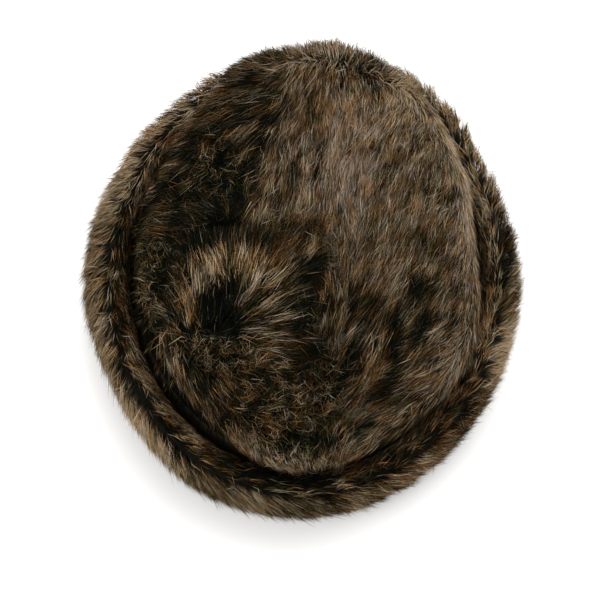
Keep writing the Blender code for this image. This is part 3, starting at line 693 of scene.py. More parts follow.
def cuff_rows(azimuth):
    """The cuff's section in these directions: its flat foot, swollen outside, round crest, inner face."""
    section = section_at(azimuth)
    wall = SIDE_FOOT + GAP
    cuff_out = section.cuff_out - CUFF_SINK
    crest_out = section.crest_out - CREST_SINK
    crest_up = section.crest_up - CUFF_SINK
    foot = cuff_out - CUFF_TUCK
    rise = crest_up - BULGE_HEIGHT
    rows = [(wall + (foot - wall) * share, 0 * foot) for share in np.linspace(0, 1, CUFF_FOOT_ROWS)]
    for turn in steps(-math.pi / 2, 0, CUFF_LOWER_ROWS):
        rows.append((foot + CUFF_TUCK * math.cos(turn), BULGE_HEIGHT * (1 + math.sin(turn)) + 0 * foot))
    for turn in steps(0, math.pi / 2, CUFF_UPPER_ROWS):
        out = crest_out + (cuff_out - crest_out) * max(0.0, math.cos(turn)) ** CUFF_ROUND
        rows.append((out, BULGE_HEIGHT + rise * math.sin(turn) ** CUFF_ROUND))
    table = np.arange(len(INNER_OUT))
    for place in steps(0, len(INNER_OUT) - 1, CUFF_INNER_ROWS):
        out_share = np.interp(place, table, INNER_OUT)
        drop_share = np.interp(place, table, INNER_DROP)
        rows.append((wall + out_share * (crest_out - wall), crest_up - drop_share * rise))
    rows.append((wall + 0 * foot, SIDE_STRAIGHT + 0 * foot))
    return rows


def cuff_grid(azimuth):
    """The cuff's points by row and by azimuth."""
    return np.stack([outside(azimuth, out, height) for out, height in cuff_rows(azimuth)])


def rounded(corners, radius, count):
    """A closed polygon with its corners rounded, as (out, height) rows."""
    rows = []
    for k, corner in enumerate(corners):
        here = np.array(corner)
        before = np.array(corners[k - 1]) - here
        after = np.array(corners[(k + 1) % len(corners)]) - here
        start = here + before / np.linalg.norm(before) * radius
        end = here + after / np.linalg.norm(after) * radius
        for t in np.linspace(0, 1, count):
            rows.append(start * (1 - t) ** 2 + here * 2 * t * (1 - t) + end * t**2)
    return rows


class Sheet:
    """A curved sheet as a grid of points by row and azimuth, which strands can be sown on."""

    def __init__(self, points, facing):
        self.points = points
        along = np.gradient(points, axis=0)
        around = np.roll(points, -1, axis=1) - np.roll(points, 1, axis=1)
        cross = np.cross(along, around)
        self.area = np.linalg.norm(cross, axis=-1)
        self.normals = unit(cross) * facing

    def sow(self, count, draw, density):
        """Random places on the sheet, as dense as density says. Returns the places and normals."""
        columns = self.area.shape[1]
        weight = self.area * density
        weight = weight[:-1] / weight[:-1].sum()
        chosen = draw.choice(weight.size, count, p=weight.ravel())
        row = chosen // columns
        column = chosen % columns
        down = draw.random(count)[:, None]
        across = draw.random(count)[:, None]
        found = []
        for grid in (self.points, self.normals):
            beyond = (column + 1) % columns
            near = mix(grid[row, column], grid[row, beyond], across)
            far = mix(grid[row + 1, column], grid[row + 1, beyond], across)
            found.append(mix(near, far, down))
        return found[0], unit(found[1])


def crown_sheet():
    """The crown's outside, and for each of its points 1 on its top and 0 on its skirt."""
    last = CROWN_RINGS + SKIRT_RINGS
    azimuth = turns(SHEET_COLUMNS)[None, :]
    ring = np.linspace(SHEET_START, last, SHEET_FINENESS * last)[:, None] + 0 * azimuth
    return Sheet(crown_sheet_point(azimuth, ring), 1.0), (ring < CROWN_RINGS + 1) * 1.0


def cuff_sheet():
    return Sheet(cuff_grid(turns(SHEET_COLUMNS))[CUFF_FOOT_ROWS - 1 : -BARE_ROWS], -1.0)


def mess_at(places):
    """How matted the pile is at these places on the crown."""
    return np.clip(patch_sum(places[..., 0], places[..., 1], MESSES), 0.0, 1.0)


def crown_heading(places):
    """The way the tips point at these places on the crown, in radians."""
    heading = np.zeros((len(places), 2))
    for nap in NAPS:
        away = np.hypot(places[:, 0] - nap.x * MM, places[:, 1] - nap.y * MM) / NAP_REACH
        angle = math.radians(nap.heading)
        heading += np.array((math.cos(angle), math.sin(angle))) / (NAP_SOFTNESS + away**3)[:, None]
    return np.arctan2(heading[:, 1], heading[:, 0])


def tangent(vectors, normals):
    """The vectors laid flat on a surface with these normals."""
    return unit(vectors - (vectors * normals).sum(axis=-1, keepdims=True) * normals)


def turned(vectors, normals, angle):
    """Tangent vectors turned about their normals."""
    return vectors * np.cos(angle)[:, None] + np.cross(normals, vectors) * np.sin(angle)[:, None]


# A strand's first step is this share of an even one, and its last step is longer by as much.
FIRST_STEP = 0.8

# The locks that strands stand in: how many to a lock, the share of all strands, the radius, and how
# far and how late the tips draw together. How alike the strands of a lock are, from 0 to 1.
Tuft = namedtuple("Tuft", "size share radius pull gather")
CROWN_LOCK = Tuft(14, 0.55, 1.8 * MM, 0.50, 1.4)
CURL_LOCK = Tuft(10, 0.80, 1.6 * MM, 0.30, 1.2)
CUFF_LOCK = Tuft(14, 0.60, 2.0 * MM, 0.32, 1.3)
ALIKE = 0.6
CURL_ALIKE = 0.9

# One strand in so many is a stray: its turns are wider, and it is lighter by so much.
STRAY_SHARE = 0.07
STRAY_TURN = 2.0
STRAY_TONE = 0.10

# One strand in so many stays light in the dark patches too, up to this tone.
WISP_SHARE = 0.09
WISP_TONE = 0.70

# The curls of the matted pile are lighter by so much. The nap sways to and fro over this distance.
CURL_TONE = 0.05
SWAY_LENGTH = 7 * MM

# How far the roots of a lock scatter, as a share of its radius. How much the lifts, the lengths and the
# widths of strands vary, and the shares of the mean that they stay between.
LOCK_SCATTER = 0.6
LIFT_SPREAD = 0.25
LIFT_LIMITS = (0.3, 1.8)
LENGTH_SPREAD = 0.16
LENGTH_LIMITS = (0.5, 1.5)
WIDTH_SPREAD = 0.2
WIDTH_LIMITS = (0.5, 1.6)

# Tones vary less where the pile is dark: by this share at black, with so much more at white, in limits.
CALM_START = 0.45
CALM_GAIN = 1.4
CALM_LIMITS = (0.3, 1.0)

# A strand's colour is read this far along it. The shifts of that place by lock and by strand weigh so much.
SEEN_ALONG = 0.6
SEEN_WEIGHT = 0.7


class Coat:
    """Strands of pile. Each row of these arrays is one strand."""

    def __init__(self, sheet, count, draw, density, tuft):
        locks = int(count * tuft.share / tuft.size)
        singles = count - locks * tuft.size
        centres, normals = sheet.sow(locks + singles, draw, density)
        repeats = np.ones(len(centres), dtype=int)
        repeats[:locks] = tuft.size
        self.tuft = tuft
        self.draw = draw
        self.lock = np.repeat(np.arange(len(centres)), repeats)
        self.centre = centres
        self.pulled = np.where(self.lock < locks, tuft.pull, 0.0)[:, None]
        self.normal = normals[self.lock]
        self.root = centres[self.lock] + self.spread()
        self.stray = draw.random(len(self.lock)) < STRAY_SHARE

    def spread(self):
        """Shifts from a lock's middle, along the sheet."""
        count = len(self.lock)
        shift = self.draw.normal(size=(count, 3)) * self.tuft.radius * LOCK_SCATTER
        shift = shift - (shift * self.normal).sum(axis=1, keepdims=True) * self.normal
        return shift * (self.pulled > 0)

    def wave(self, spread, alike=ALIKE):
        """A random number for each strand, shared in part by its lock."""
        shared = self.draw.normal(size=len(self.centre))[self.lock]
        own = self.draw.normal(size=len(self.lock))
        return (alike * shared + np.sqrt(1 - alike**2) * own) * spread

    def comb(self, flow, length, lifts, jitter, curl, joints=2):
        """Lays the strands along the flow. lifts are the angles off the sheet at the root and the tip."""
        heading = turned(flow, self.normal, self.wave(1.0) * jitter * (1 + STRAY_TURN * self.stray))
        bend = self.wave(1.0, CURL_ALIKE) * curl / joints
        vary = np.clip(1 + self.wave(LIFT_SPREAD), *LIFT_LIMITS)
        length = (length * np.clip(1 + self.wave(LENGTH_SPREAD), *LENGTH_LIMITS))[:, None]
        shares = np.linspace(FIRST_STEP, 2 - FIRST_STEP, joints) / joints
        self.path = [self.root]
        for joint in range(joints):
            lift = (mix(lifts[0], lifts[1], joint / (joints - 1)) * vary)[:, None]
            step = heading * np.cos(lift) + self.normal * np.sin(lift)
            self.path.append(self.path[-1] + step * length * shares[joint])
            heading = turned(heading, self.normal, bend)
        count = np.bincount(self.lock)[:, None]
        for joint in range(1, joints + 1):
            middle = np.zeros_like(self.centre)
            np.add.at(middle, self.lock, self.path[joint])
            pull = self.pulled * (joint / joints) ** self.tuft.gather
            self.path[joint] = mix(self.path[joint], (middle / count)[self.lock], pull)

    def keep_above(self, height):
        for ends in self.path:
            ends[:, 2] = np.maximum(ends[:, 2], height)

    def dye_and_painted_light(self, tone, warm, mauve, olive, width, spread, alike=ALIKE):
        """Chooses each strand's colour family and tone, painted shade and light among them, as its place in
        the palette, and its width.
        """
        count = len(self.lock)
        shared = self.draw.random(len(self.centre))[self.lock]
        chance = np.where(self.draw.random(count) < alike, shared, self.draw.random(count))
        plain = np.where(self.draw.random(count) < olive, OLIVE, BROWN)
        family = np.where(chance < warm, RUST, np.where(chance < warm + mauve, MAUVE, plain))
        vary = self.wave(1.0, alike) * spread * np.clip(CALM_START + CALM_GAIN * tone, *CALM_LIMITS)
        tone = tone + vary + STRAY_TONE * self.stray
        wisp = self.draw.random(count) < WISP_SHARE
        light = np.maximum(tone, self.draw.random(count) * WISP_TONE)
        tone = np.clip(np.where(wisp, light, tone), 0.0, 1.0)
        self.palette = (family + DYE_MARGIN + (1 - 2 * DYE_MARGIN) * tone) / len(DYES)
        self.width = width * np.clip(1 + self.draw.normal(size=count) * WIDTH_SPREAD, *WIDTH_LIMITS)

    def seen_at(self, blur):
        """The place that a strand's colour is read at, moved by about so much."""
        shared = self.draw.normal(size=(len(self.centre), 3))[self.lock]
        own = self.draw.normal(size=(len(self.lock), 3))
        shift = SEEN_WEIGHT * shared + SEEN_WEIGHT * own
        return mix(self.path[0], self.path[-1], SEEN_ALONG) + shift * blur


def dye_shares(tone, warm, mauve, olive):
    """The shares of the dyes at these tones, with less rust and more grey where the pile is nearly black."""
    black = np.clip(BLACK_TONE - tone, 0.0, BLACK_TONE)
    warm = np.clip(warm - BLACK_WARM * black, 0.0, WARM_MOST)
    mauve = np.clip(mauve + BLACK_MAUVE * black, 0.0, MAUVE_MOST)
    return warm, mauve, olive + black


# A strand is pointed at both ends, with a ring of three corners at each joint between. It thins by about
# this share towards its tip, and in its map it is this wide. The nudge gives a strand that stands straight
# up a side.
RING = 3
STRAND_TAPER = 0.5
MAP_WIDTH = 0.0015
NUDGE = 1e-4


def strand_faces(rings):
    """The corners of one strand's faces: round its root, between its rings, and round its point."""
    faces = [(0, 1 + (k + 1) % RING, 1 + k) for k in range(RING)]
    for start in range(1, 1 + RING * (rings - 1), RING):
        for k in range(RING):
            beyond = (k + 1) % RING
            faces.append((start + k, start + beyond, start + RING + beyond, start + RING + k))
    last = 1 + RING * (rings - 1)
    faces += [(last + k, last + (k + 1) % RING, last + RING) for k in range(RING)]
    return faces


def strand_object(name, coat):
    """One mesh of all the strands of a coat, with each strand's colour, painted shade and light included,
    and length in its UV map.
    """
    count = len(coat.root)
    rings = len(coat.path) - 2
    size = RING * rings + 2
    turn = coat.draw.random(count) * math.tau
    vertices = np.zeros((count, size, 3))
    maps = np.zeros((count, size, 2))
    maps[:, :, 0] = coat.palette[:, None]
    maps[:, -1, 1] = 1.0
    vertices[:, 0] = coat.path[0]
    vertices[:, -1] = coat.path[-1]
    for ring in range(rings):
        along = unit(coat.path[ring + 2] - coat.path[ring])
        side = unit(np.cross(along, coat.normal) + NUDGE)
        over = np.cross(along, side)
        radius = (coat.width / 2 * (1 - STRAND_TAPER * ring / rings))[:, None]
        for k in range(RING):
            angle = (turn + k * math.tau / RING)[:, None]
            place = 1 + ring * RING + k
            off = (side * np.cos(angle) + over * np.sin(angle)) * radius
            vertices[:, place] = coat.path[ring + 1] + off
            maps[:, place, 0] += (k - 1) * MAP_WIDTH
            maps[:, place, 1] = (ring + 1) / (rings + 1)
    faces = strand_faces(rings)
    sizes = np.array([len(face) for face in faces])
    pattern = np.concatenate([np.array(face) for face in faces])
    corners = (np.arange(count)[:, None] * size + pattern[None, :]).ravel()
    totals = np.tile(sizes, count)
    starts = np.concatenate(([0], np.cumsum(totals)[:-1]))
    mesh = bpy.data.meshes.new(name)
    mesh.vertices.add(count * size)
    mesh.vertices.foreach_set("co", vertices.astype(np.float32).ravel())
    mesh.loops.add(len(corners))
    mesh.loops.foreach_set("vertex_index", corners.astype(np.int32))
    mesh.polygons.add(len(totals))
    mesh.polygons.foreach_set("loop_start", starts.astype(np.int32))
    flat = maps.reshape(-1, 2)[corners].astype(np.float32).ravel()
    for label in (FUR_MAP, BAKE_MAP):
        layer = mesh.uv_layers.new(name=label)
        layer.uv.foreach_set("vector", flat)
    mesh.update(calc_edges=True)
    mesh.shade_smooth()
    piece = bpy.data.objects.new(name, mesh)
    bpy.context.scene.collection.objects.link(piece)
    return piece


class Node:
    """A node's output that Python's arithmetic works on, by adding Math nodes."""

    def __init__(self, tree, socket):
        self.tree = tree
        self.socket = socket

    def make(self, kind, settings=None, inputs=None, output=0):
        return add_node(self.tree, kind, settings, inputs, output)

    def math(self, operation, *values):
        return self.make("ShaderNodeMath", {"operation": operation}, dict(enumerate(values)))

    def __add__(self, other):
        return self.math("ADD", self, other)

    def __radd__(self, other):
        return self.math("ADD", other, self)

    def __sub__(self, other):
        return self.math("SUBTRACT", self, other)

    def __rsub__(self, other):
        return self.math("SUBTRACT", other, self)

    def __mul__(self, other):
        return self.math("MULTIPLY", self, other)

    def __rmul__(self, other):
        return self.math("MULTIPLY", other, self)

    def __truediv__(self, other):
        return self.math("DIVIDE", self, other)

    def __abs__(self):
        return self.math("ABSOLUTE", self)

    def wave(self):
        """The sine of this value in turns."""
        return self.math("SINE", self * math.tau)


def add_node(tree, kind, settings=None, inputs=None, output=0):
    """Adds a node: its settings come first, then the values or links of its sockets."""
    node = tree.nodes.new(kind)
    for key, value in (settings or {}).items():
        if key == "stops":
            ramp = node.color_ramp
            while len(ramp.elements) < len(value):
                ramp.elements.new(0.5)
            for element, (place, colour) in zip(ramp.elements, value):
                element.position = place
                element.color = (*colour, 1.0)
        else:
            setattr(node, key, value)
    for key, value in (inputs or {}).items():
        if isinstance(value, Node):
            tree.links.new(value.socket, node.inputs[key])
        else:
            node.inputs[key].default_value = value
    return Node(tree, node.outputs[output])


def ramp(tree, stops, value):
    """The colour of this value on a ramp of places and colours."""
    return add_node(tree, "ShaderNodeValToRGB", {"stops": stops}, {0: value})


def blend(tree, kind, share, first, second):
    """Two colours blended in this way."""
    settings = {"data_type": "RGBA", "blend_type": kind}
    return add_node(tree, "ShaderNodeMix", settings, {0: share, 6: first, 7: second}, 2)


def new_material(name, roughness, specular):
    """A material with a plain shader. Returns it, its tree and the shader's node."""
    material = bpy.data.materials.new(name)
    material.use_nodes = True
    shader = material.node_tree.nodes["Principled BSDF"]
    shader.inputs["Roughness"].default_value = roughness
    shader.inputs["Metallic"].default_value = 0.0
    shader.inputs["Specular IOR Level"].default_value = specular
    return material, material.node_tree, shader


def mapped(tree, label):
    """The two numbers of a UV map."""
    uv = add_node(tree, "ShaderNodeUVMap", {"uv_map": label})
    split = add_node(tree, "ShaderNodeSeparateXYZ", inputs={0: uv})
    node = split.socket.node
    return Node(tree, node.outputs[0]), Node(tree, node.outputs[1])


def fur_material(name, roughness):
    """Dye and tone, painted shade and light among them, from the map's first number, and light from the root
    to the tip from its second.
    """
    material, tree, shader = new_material(name, roughness, FUR_SPECULAR)
    palette, along = mapped(tree, FUR_MAP)
    stops = []
    for family, tones in enumerate(DYES):
        stops.append(((family + DYE_MARGIN / 2) / len(DYES), tones[0]))
        for k, colour in enumerate(tones):
            share = DYE_MARGIN + (1 - 2 * DYE_MARGIN) * k / (len(tones) - 1)
            stops.append(((family + share) / len(DYES), colour))
    greys = [(place, (light, light, light)) for place, light in ROOT_SHADE]
    colour = blend(tree, "MULTIPLY", 1.0, ramp(tree, stops, palette), ramp(tree, greys, along))
    tree.links.new(colour.socket, shader.inputs["Base Color"])
    return material


def knit_material(name):
    """A fine knit of plain stitches from a map in metres, painted shade in its gaps, painted light on its
    ridges, and dark roots with painted shade where that is under the pile.
    """
    backing = bpy.context.scene.furhat_backing
    colour = tuple(backing.colour)
    material, tree, shader = new_material(name, KNIT_ROUGHNESS, KNIT_SPECULAR)
    across, up = mapped(tree, KNIT_MAP)
    under_pile = across.math("GREATER_THAN", across, UNDER_PILE / 2)
    column = across / backing.wale
    half = abs(column.math("FRACT", column) - 0.5)
    row = up / backing.course - half * STITCH_LEAN
    loop = (row.wave() * 0.5 + 0.5) * (1 - half * STITCH_SINK)
    fibre = add_node(tree, "ShaderNodeTexNoise", inputs={"Scale": FIBRE_SCALE, "Detail": 3.0})
    blotch = add_node(tree, "ShaderNodeTexNoise", inputs={"Scale": BLOTCH_SCALE, "Detail": 2.0})
    relief = loop * 0.7 + fibre * 0.3
    # Painted shade in the gaps between the loops and painted light on their ridges, with the fibres' and
    # blotches' own colour.
    light = loop * 0.5 + fibre * 0.4 + blotch * 0.5
    dark = tuple(c * KNIT_DARK for c in colour)
    pale = tuple(c * KNIT_PALE for c in colour)
    dye_and_painted_light = ramp(tree, [(0.2, dark), (0.6, colour), (1.0, pale)], light)
    # Under the pile the knit is the dark roots' colour with painted shade.
    shown = blend(tree, "MIX", under_pile, dye_and_painted_light, (*ROOT_AND_SHADE_COLOUR, 1.0))
    tree.links.new(shown.socket, shader.inputs["Base Color"])
    sockets = {"Strength": RELIEF_STRENGTH, "Distance": RELIEF_DEPTH, "Height": relief}
    bump = add_node(tree, "ShaderNodeBump", inputs=sockets)
    tree.links.new(bump.socket, shader.inputs["Normal"])
    return material


def coordinates(mesh):
    values = np.empty(len(mesh.vertices) * 3, dtype=np.float32)
    mesh.vertices.foreach_get("co", values)
    return values.reshape(-1, 3)


def place_vertices(piece, points):
    piece.data.vertices.foreach_set("co", np.asarray(points, dtype=np.float32).ravel())
    piece.data.update()


def corner_vertices(mesh):
    values = np.empty(len(mesh.loops), dtype=np.int32)
    mesh.loops.foreach_get("vertex_index", values)
    return values


def corner_points(mesh):
    """The place of each face corner."""
    return coordinates(mesh)[corner_vertices(mesh)]


def set_map(mesh, label, values):
    """Gives a mesh one UV map, from two numbers for each face corner."""
    while mesh.uv_layers:
        mesh.uv_layers.remove(mesh.uv_layers[0])
    layer = mesh.uv_layers.new(name=label)
    layer.uv.foreach_set("vector", np.asarray(values, dtype=np.float32).ravel())


def deselect():
    for obj in bpy.context.selected_objects:
        obj.select_set(False)


def added(name):
    """The primitive that was just added, under its own name."""
    piece = bpy.context.active_object
    piece.name = name
    piece.data.name = name
    return piece


def clean_up(piece):
    """Merges doubled corners and turns the faces outwards."""
    deselect()
    piece.select_set(True)
    bpy.context.view_layer.objects.active = piece
    bpy.ops.object.mode_set(mode="EDIT")
    bpy.ops.mesh.select_all(action="SELECT")
    bpy.ops.mesh.remove_doubles(threshold=WELD)
    bpy.ops.mesh.normals_make_consistent(inside=False)
    bpy.ops.object.mode_set(mode="OBJECT")
    bpy.ops.object.shade_smooth()


def round_grid(name, rings, point):
    """A round sheet from a square grid of so many rings. point places it by azimuth and ring."""
    deselect()
    bpy.ops.mesh.primitive_grid_add(x_subdivisions=2 * rings, y_subdivisions=2 * rings, size=2.0)
    piece = added(name)
    flat = coordinates(piece.data)
    u = flat[:, 0].astype(float)
    w = flat[:, 1].astype(float)
    azimuth = np.arctan2(w * np.sqrt(1 - u * u / 2), u * np.sqrt(1 - w * w / 2))
    ring = np.round(np.maximum(abs(u), abs(w)) * rings)
    place_vertices(piece, point(azimuth, ring))
    return piece


def torus_piece(name, columns, grid, pile_row=None):
    """A ring whose section is the grid's rows, with a map in metres round it and along its section.

    The pile covers it from the row pile_row onwards, where its map is moved on so that its knit shows the
    dark roots with painted shade.
    """
    deselect()
    rows = len(grid)
    bpy.ops.mesh.primitive_torus_add(major_segments=columns, minor_segments=rows)
    piece = added(name)
    place_vertices(piece, np.swapaxes(grid, 0, 1))
    section = np.concatenate((grid[:, 0], grid[:1, 0]))
    length = np.concatenate(([0], np.cumsum(np.linalg.norm(np.diff(section, axis=0), axis=1))))
    corners = corner_vertices(piece.data)
    column = (corners // rows).reshape(-1, 4)
    row = (corners % rows).reshape(-1, 4)
    column = np.where((np.ptp(column, axis=1) > 1)[:, None] & (column == 0), columns, column)
    row = np.where((np.ptp(row, axis=1) > 1)[:, None] & (row == 0), rows, row)
    around = column / columns * math.tau * HEAD_MEAN
    if pile_row is not None:
        around = around + UNDER_PILE * (row.min(axis=1, keepdims=True) >= pile_row)
    set_map(piece.data, KNIT_MAP, np.stack((around.ravel(), length[row].ravel()), axis=-1))
    clean_up(piece)
    return piece


def finish_piece(piece, material, node):
    piece.data.materials.clear()
    piece.data.materials.append(material)
    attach(piece, "root")
    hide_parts(node)


class FurHatPile(bpy.types.PropertyGroup):
    """Sizes of the pile."""

    crown_length: bpy.props.FloatProperty(
        name="Crown pile", description="Length of a strand on the crown", default=17 * MM, unit="LENGTH"
    )
    cuff_length: bpy.props.FloatProperty(
        name="Cuff pile", description="Length of a strand on the cuff", default=14 * MM, unit="LENGTH"
    )
    strand_width: bpy.props.FloatProperty(
        name="Strand width", description="Width of a strand", default=0.38 * MM, unit="LENGTH"
    )
    roughness: bpy.props.FloatProperty(
        name="Roughness", description="How dull the pile is", default=0.6, subtype="FACTOR"
    )


class FurHatBacking(bpy.types.PropertyGroup):
    """The knitted backing of the fur fabric."""

    colour: bpy.props.FloatVectorProperty(
        name="Colour", description="Colour of the knit", default=(0.040, 0.029, 0.018), subtype="COLOR"
    )
    wale: bpy.props.FloatProperty(
        name="Wale", description="Width of a stitch", default=1.6 * MM, unit="LENGTH"
    )
    course: bpy.props.FloatProperty(
        name="Course", description="Height of a stitch", default=1.3 * MM, unit="LENGTH"
    )


class FurHatStage(bpy.types.PropertyGroup):
    """The floor and the lights."""

    floor_colour: bpy.props.FloatVectorProperty(
        name="Floor", description="Colour of the floor", default=(0.90, 0.90, 0.90), subtype="COLOR"
    )
    key_power: bpy.props.FloatProperty(
        name="Key light", description="Power of the large light above", default=18.0, unit="POWER"
    )
    fill_power: bpy.props.FloatProperty(
        name="Fill light", description="Power of the light from the left", default=5.0, unit="POWER"
    )
    sky: bpy.props.FloatProperty(
        name="Sky", description="Strength of the light from all round", default=1.18
    )


class FURHAT_OT_crown_pelt(bpy.types.Operator):
    """Makes the crown's backing: a dented dome with a skirt, a sewn edge and a hollow below"""

    bl_idname = "furhat.crown_pelt"
    bl_label = "Crown backing"

    def execute(self, context):
        rings = CROWN_RINGS + SKIRT_RINGS + SEAM_RINGS
        piece = round_grid("crown_pelt", rings, crown_sheet_point)
        # Under the pile the outside's map is moved on, so that its knit shows the dark roots with painted
        # shade.
        set_map(piece.data, KNIT_MAP, corner_points(piece.data)[:, :2] + np.array((UNDER_PILE, 0.0)))
        hollow = round_grid("crown_hollow", rings, lambda azimuth, ring: hollow_point(azimuth, ring / rings))
        set_map(hollow.data, KNIT_MAP, corner_points(hollow.data)[:, :2])
        deselect()
        hollow.select_set(True)
        piece.select_set(True)
        context.view_layer.objects.active = piece
        bpy.ops.object.join()
        clean_up(piece)
        finish_piece(piece, knit_material("crown_backing_knit"), "crown_top")
        return {"FINISHED"}


class FURHAT_OT_side_wall(bpy.types.Operator):
    """Makes the oval wall round the head"""

    bl_idname = "furhat.side_wall"
    bl_label = "Side wall"

    def execute(self, context):
        corners = (
            (0, 0),
            (SIDE_FOOT, 0),
            (SIDE_FOOT, SIDE_STRAIGHT),
            ((SIDE_FOOT + SIDE_HEAD) / 2, (SIDE_STRAIGHT + SEAM_HEIGHT) / 2),
            (SIDE_HEAD, SEAM_HEIGHT),
            (0, SEAM_HEIGHT),
            (0, SEAM_HEIGHT / 2),
        )
        rows = rounded(corners, SIDE_CORNER, SIDE_CORNER_STEPS)
        grid = np.stack([outside(turns(SIDE_COLUMNS), out, height) for out, height in rows])
        piece = torus_piece("side_wall", SIDE_COLUMNS, grid)
        finish_piece(piece, knit_material("side_fabric_knit"), "crown_side")
        return {"FINISHED"}


class FURHAT_OT_cuff_pelt(bpy.types.Operator):
    """Makes the cuff's backing: a doubled band with a flat foot and a round crest"""

    bl_idname = "furhat.cuff_pelt"
    bl_label = "Cuff backing"

    def execute(self, context):
        piece = torus_piece("cuff_pelt", CUFF_COLUMNS, cuff_grid(turns(CUFF_COLUMNS)), CUFF_FOOT_ROWS)
        finish_piece(piece, knit_material("cuff_backing_knit"), "cuff")
        return {"FINISHED"}


class FURHAT_OT_crown_fur(bpy.types.Operator):
    """Grows the crown's pile, brushed as the naps say, with locks, curls, and lighter and darker patches,
    partly painted shade and light
    """

    bl_idname = "furhat.crown_fur"
    bl_label = "Crown pile"

    def execute(self, context):
        pile = context.scene.furhat_pile
        material = fur_material("crown_fur_pile", pile.roughness)
        sheet, top = crown_sheet()
        straight = (1 - CURL_COVER * mess_at(sheet.points)) * top
        left = sheet.points[..., 0] < LEFT_PLANE
        back = sheet.points[..., 1] > BACK_PLANE
        densities = {
            "crown_fur_left": straight * left,
            "crown_fur_right": straight * (1 - left) * back,
            "crown_fur_front": straight * (1 - left) * (1 - back),
            "crown_curls": mess_at(sheet.points) * top,
            "crown_skirt_fur": 1 - top,
        }
        for number, (name, density) in enumerate(densities.items()):
            skirt = name == "crown_skirt_fur"
            curly = name == "crown_curls"
            tuft = CURL_LOCK if curly else CROWN_LOCK
            coat = Coat(sheet, STRANDS[name], np.random.default_rng(SEED + number), density, tuft)
            x = coat.root[:, 0]
            y = coat.root[:, 1]
            mess = mess_at(coat.root) * (1 - skirt)
            rough = np.maximum(mess, patch_sum(x, y, ROUGHS))
            coat.pulled *= mix(*ROUGH_PULL, rough)[:, None]
            middle = coat.centre[coat.lock]
            coat.root = middle + (coat.root - middle) * mix(*ROUGH_SPREAD, rough)[:, None]
            angle = crown_heading(coat.root + coat.draw.normal(size=coat.root.shape) * NAP_BLUR)
            flow = np.stack((np.cos(angle), np.sin(angle), 0 * angle - NAP_FALL), axis=-1)
            flow = tangent(mix(flow, DOWN, SKIRT_HANG * skirt), coat.normal)
            sway = mottle(coat.centre, SWAY_LENGTH, SEED + 10)[coat.lock]
            flow = turned(flow, coat.normal, sway * mix(*MESS_SWAY, mess))
            azimuth = np.arctan2(y, x)
            share = np.hypot(x, y) / (head_radius(azimuth) + crown_edge(azimuth)[0])
            edge = np.clip((share - EDGE_START) / EDGE_WIDTH, 0.0, 1.0)
            if curly:
                coat.comb(flow, CURL_LENGTH, CURL_LIFTS, CURL_JITTER, CURL_BEND, CURL_JOINTS)
                width = pile.strand_width * CURL_WIDTH
            else:
                length = pile.crown_length * mix(*ROUGH_LENGTH, rough) * mix(*MESS_LENGTH, mess)
                length = length * mix(*EDGE_LENGTH, edge) * mix(*SKIRT_LENGTH, skirt)
                lifts = [mix(*pair, mess) for pair in MESS_LIFTS]
                coat.comb(flow, length, lifts, mix(*MESS_JITTER, mess), mix(*MESS_CURL, mess))
                width = pile.strand_width * (mix(*ROUGH_WIDTH, rough) * mix(*MESS_WIDTH, mess))
            coat.keep_above(CROWN_FLOOR)
            seen = coat.seen_at(CROWN_BLUR)
            x = seen[:, 0] + PATCH_SHIFT * mottle(seen, HUE_BLOTCH, SEED + 4)
            y = seen[:, 1] + PATCH_SHIFT * mottle(seen, HUE_BLOTCH, SEED + 5)
            # The tone patches hold painted shade and painted light, and the skirt is darkened with painted
            # shade.
            tone = CROWN_TONE + patch_sum(x, y, TONES_AND_PAINTED_LIGHT) - MESS_DARK * mess - SKIRT_PAINTED_SHADE * skirt
            tone = tone + mix(*ROUGH_BLOTCHES, rough) * mottle(seen, TONE_BLOTCH, SEED)
            tone = tone + mix(*MESS_BLOTCHES, mess) * mottle(seen, FINE_BLOTCH, SEED + 1)
            warm = CROWN_WARM + patch_sum(x, y, WARMS) + HUE_SHIFT * mottle(seen, HUE_BLOTCH, SEED + 7)
            mauve = CROWN_MAUVE + patch_sum(x, y, MAUVES) + HUE_SHIFT * mottle(seen, HUE_BLOTCH, SEED + 8)
            shares = dye_shares(tone, warm, mauve * (1 - MESS_MAUVE * mess), mix(*MESS_OLIVE, mess))
            tone = tone + CURL_TONE * curly
            coat.dye_and_painted_light(tone, *shares, width, mix(*ROUGH_TONES, rough), mix(*ROUGH_ALIKE, rough))
            finish_piece(strand_object(name, coat), material, "crown_top")
        return {"FINISHED"}


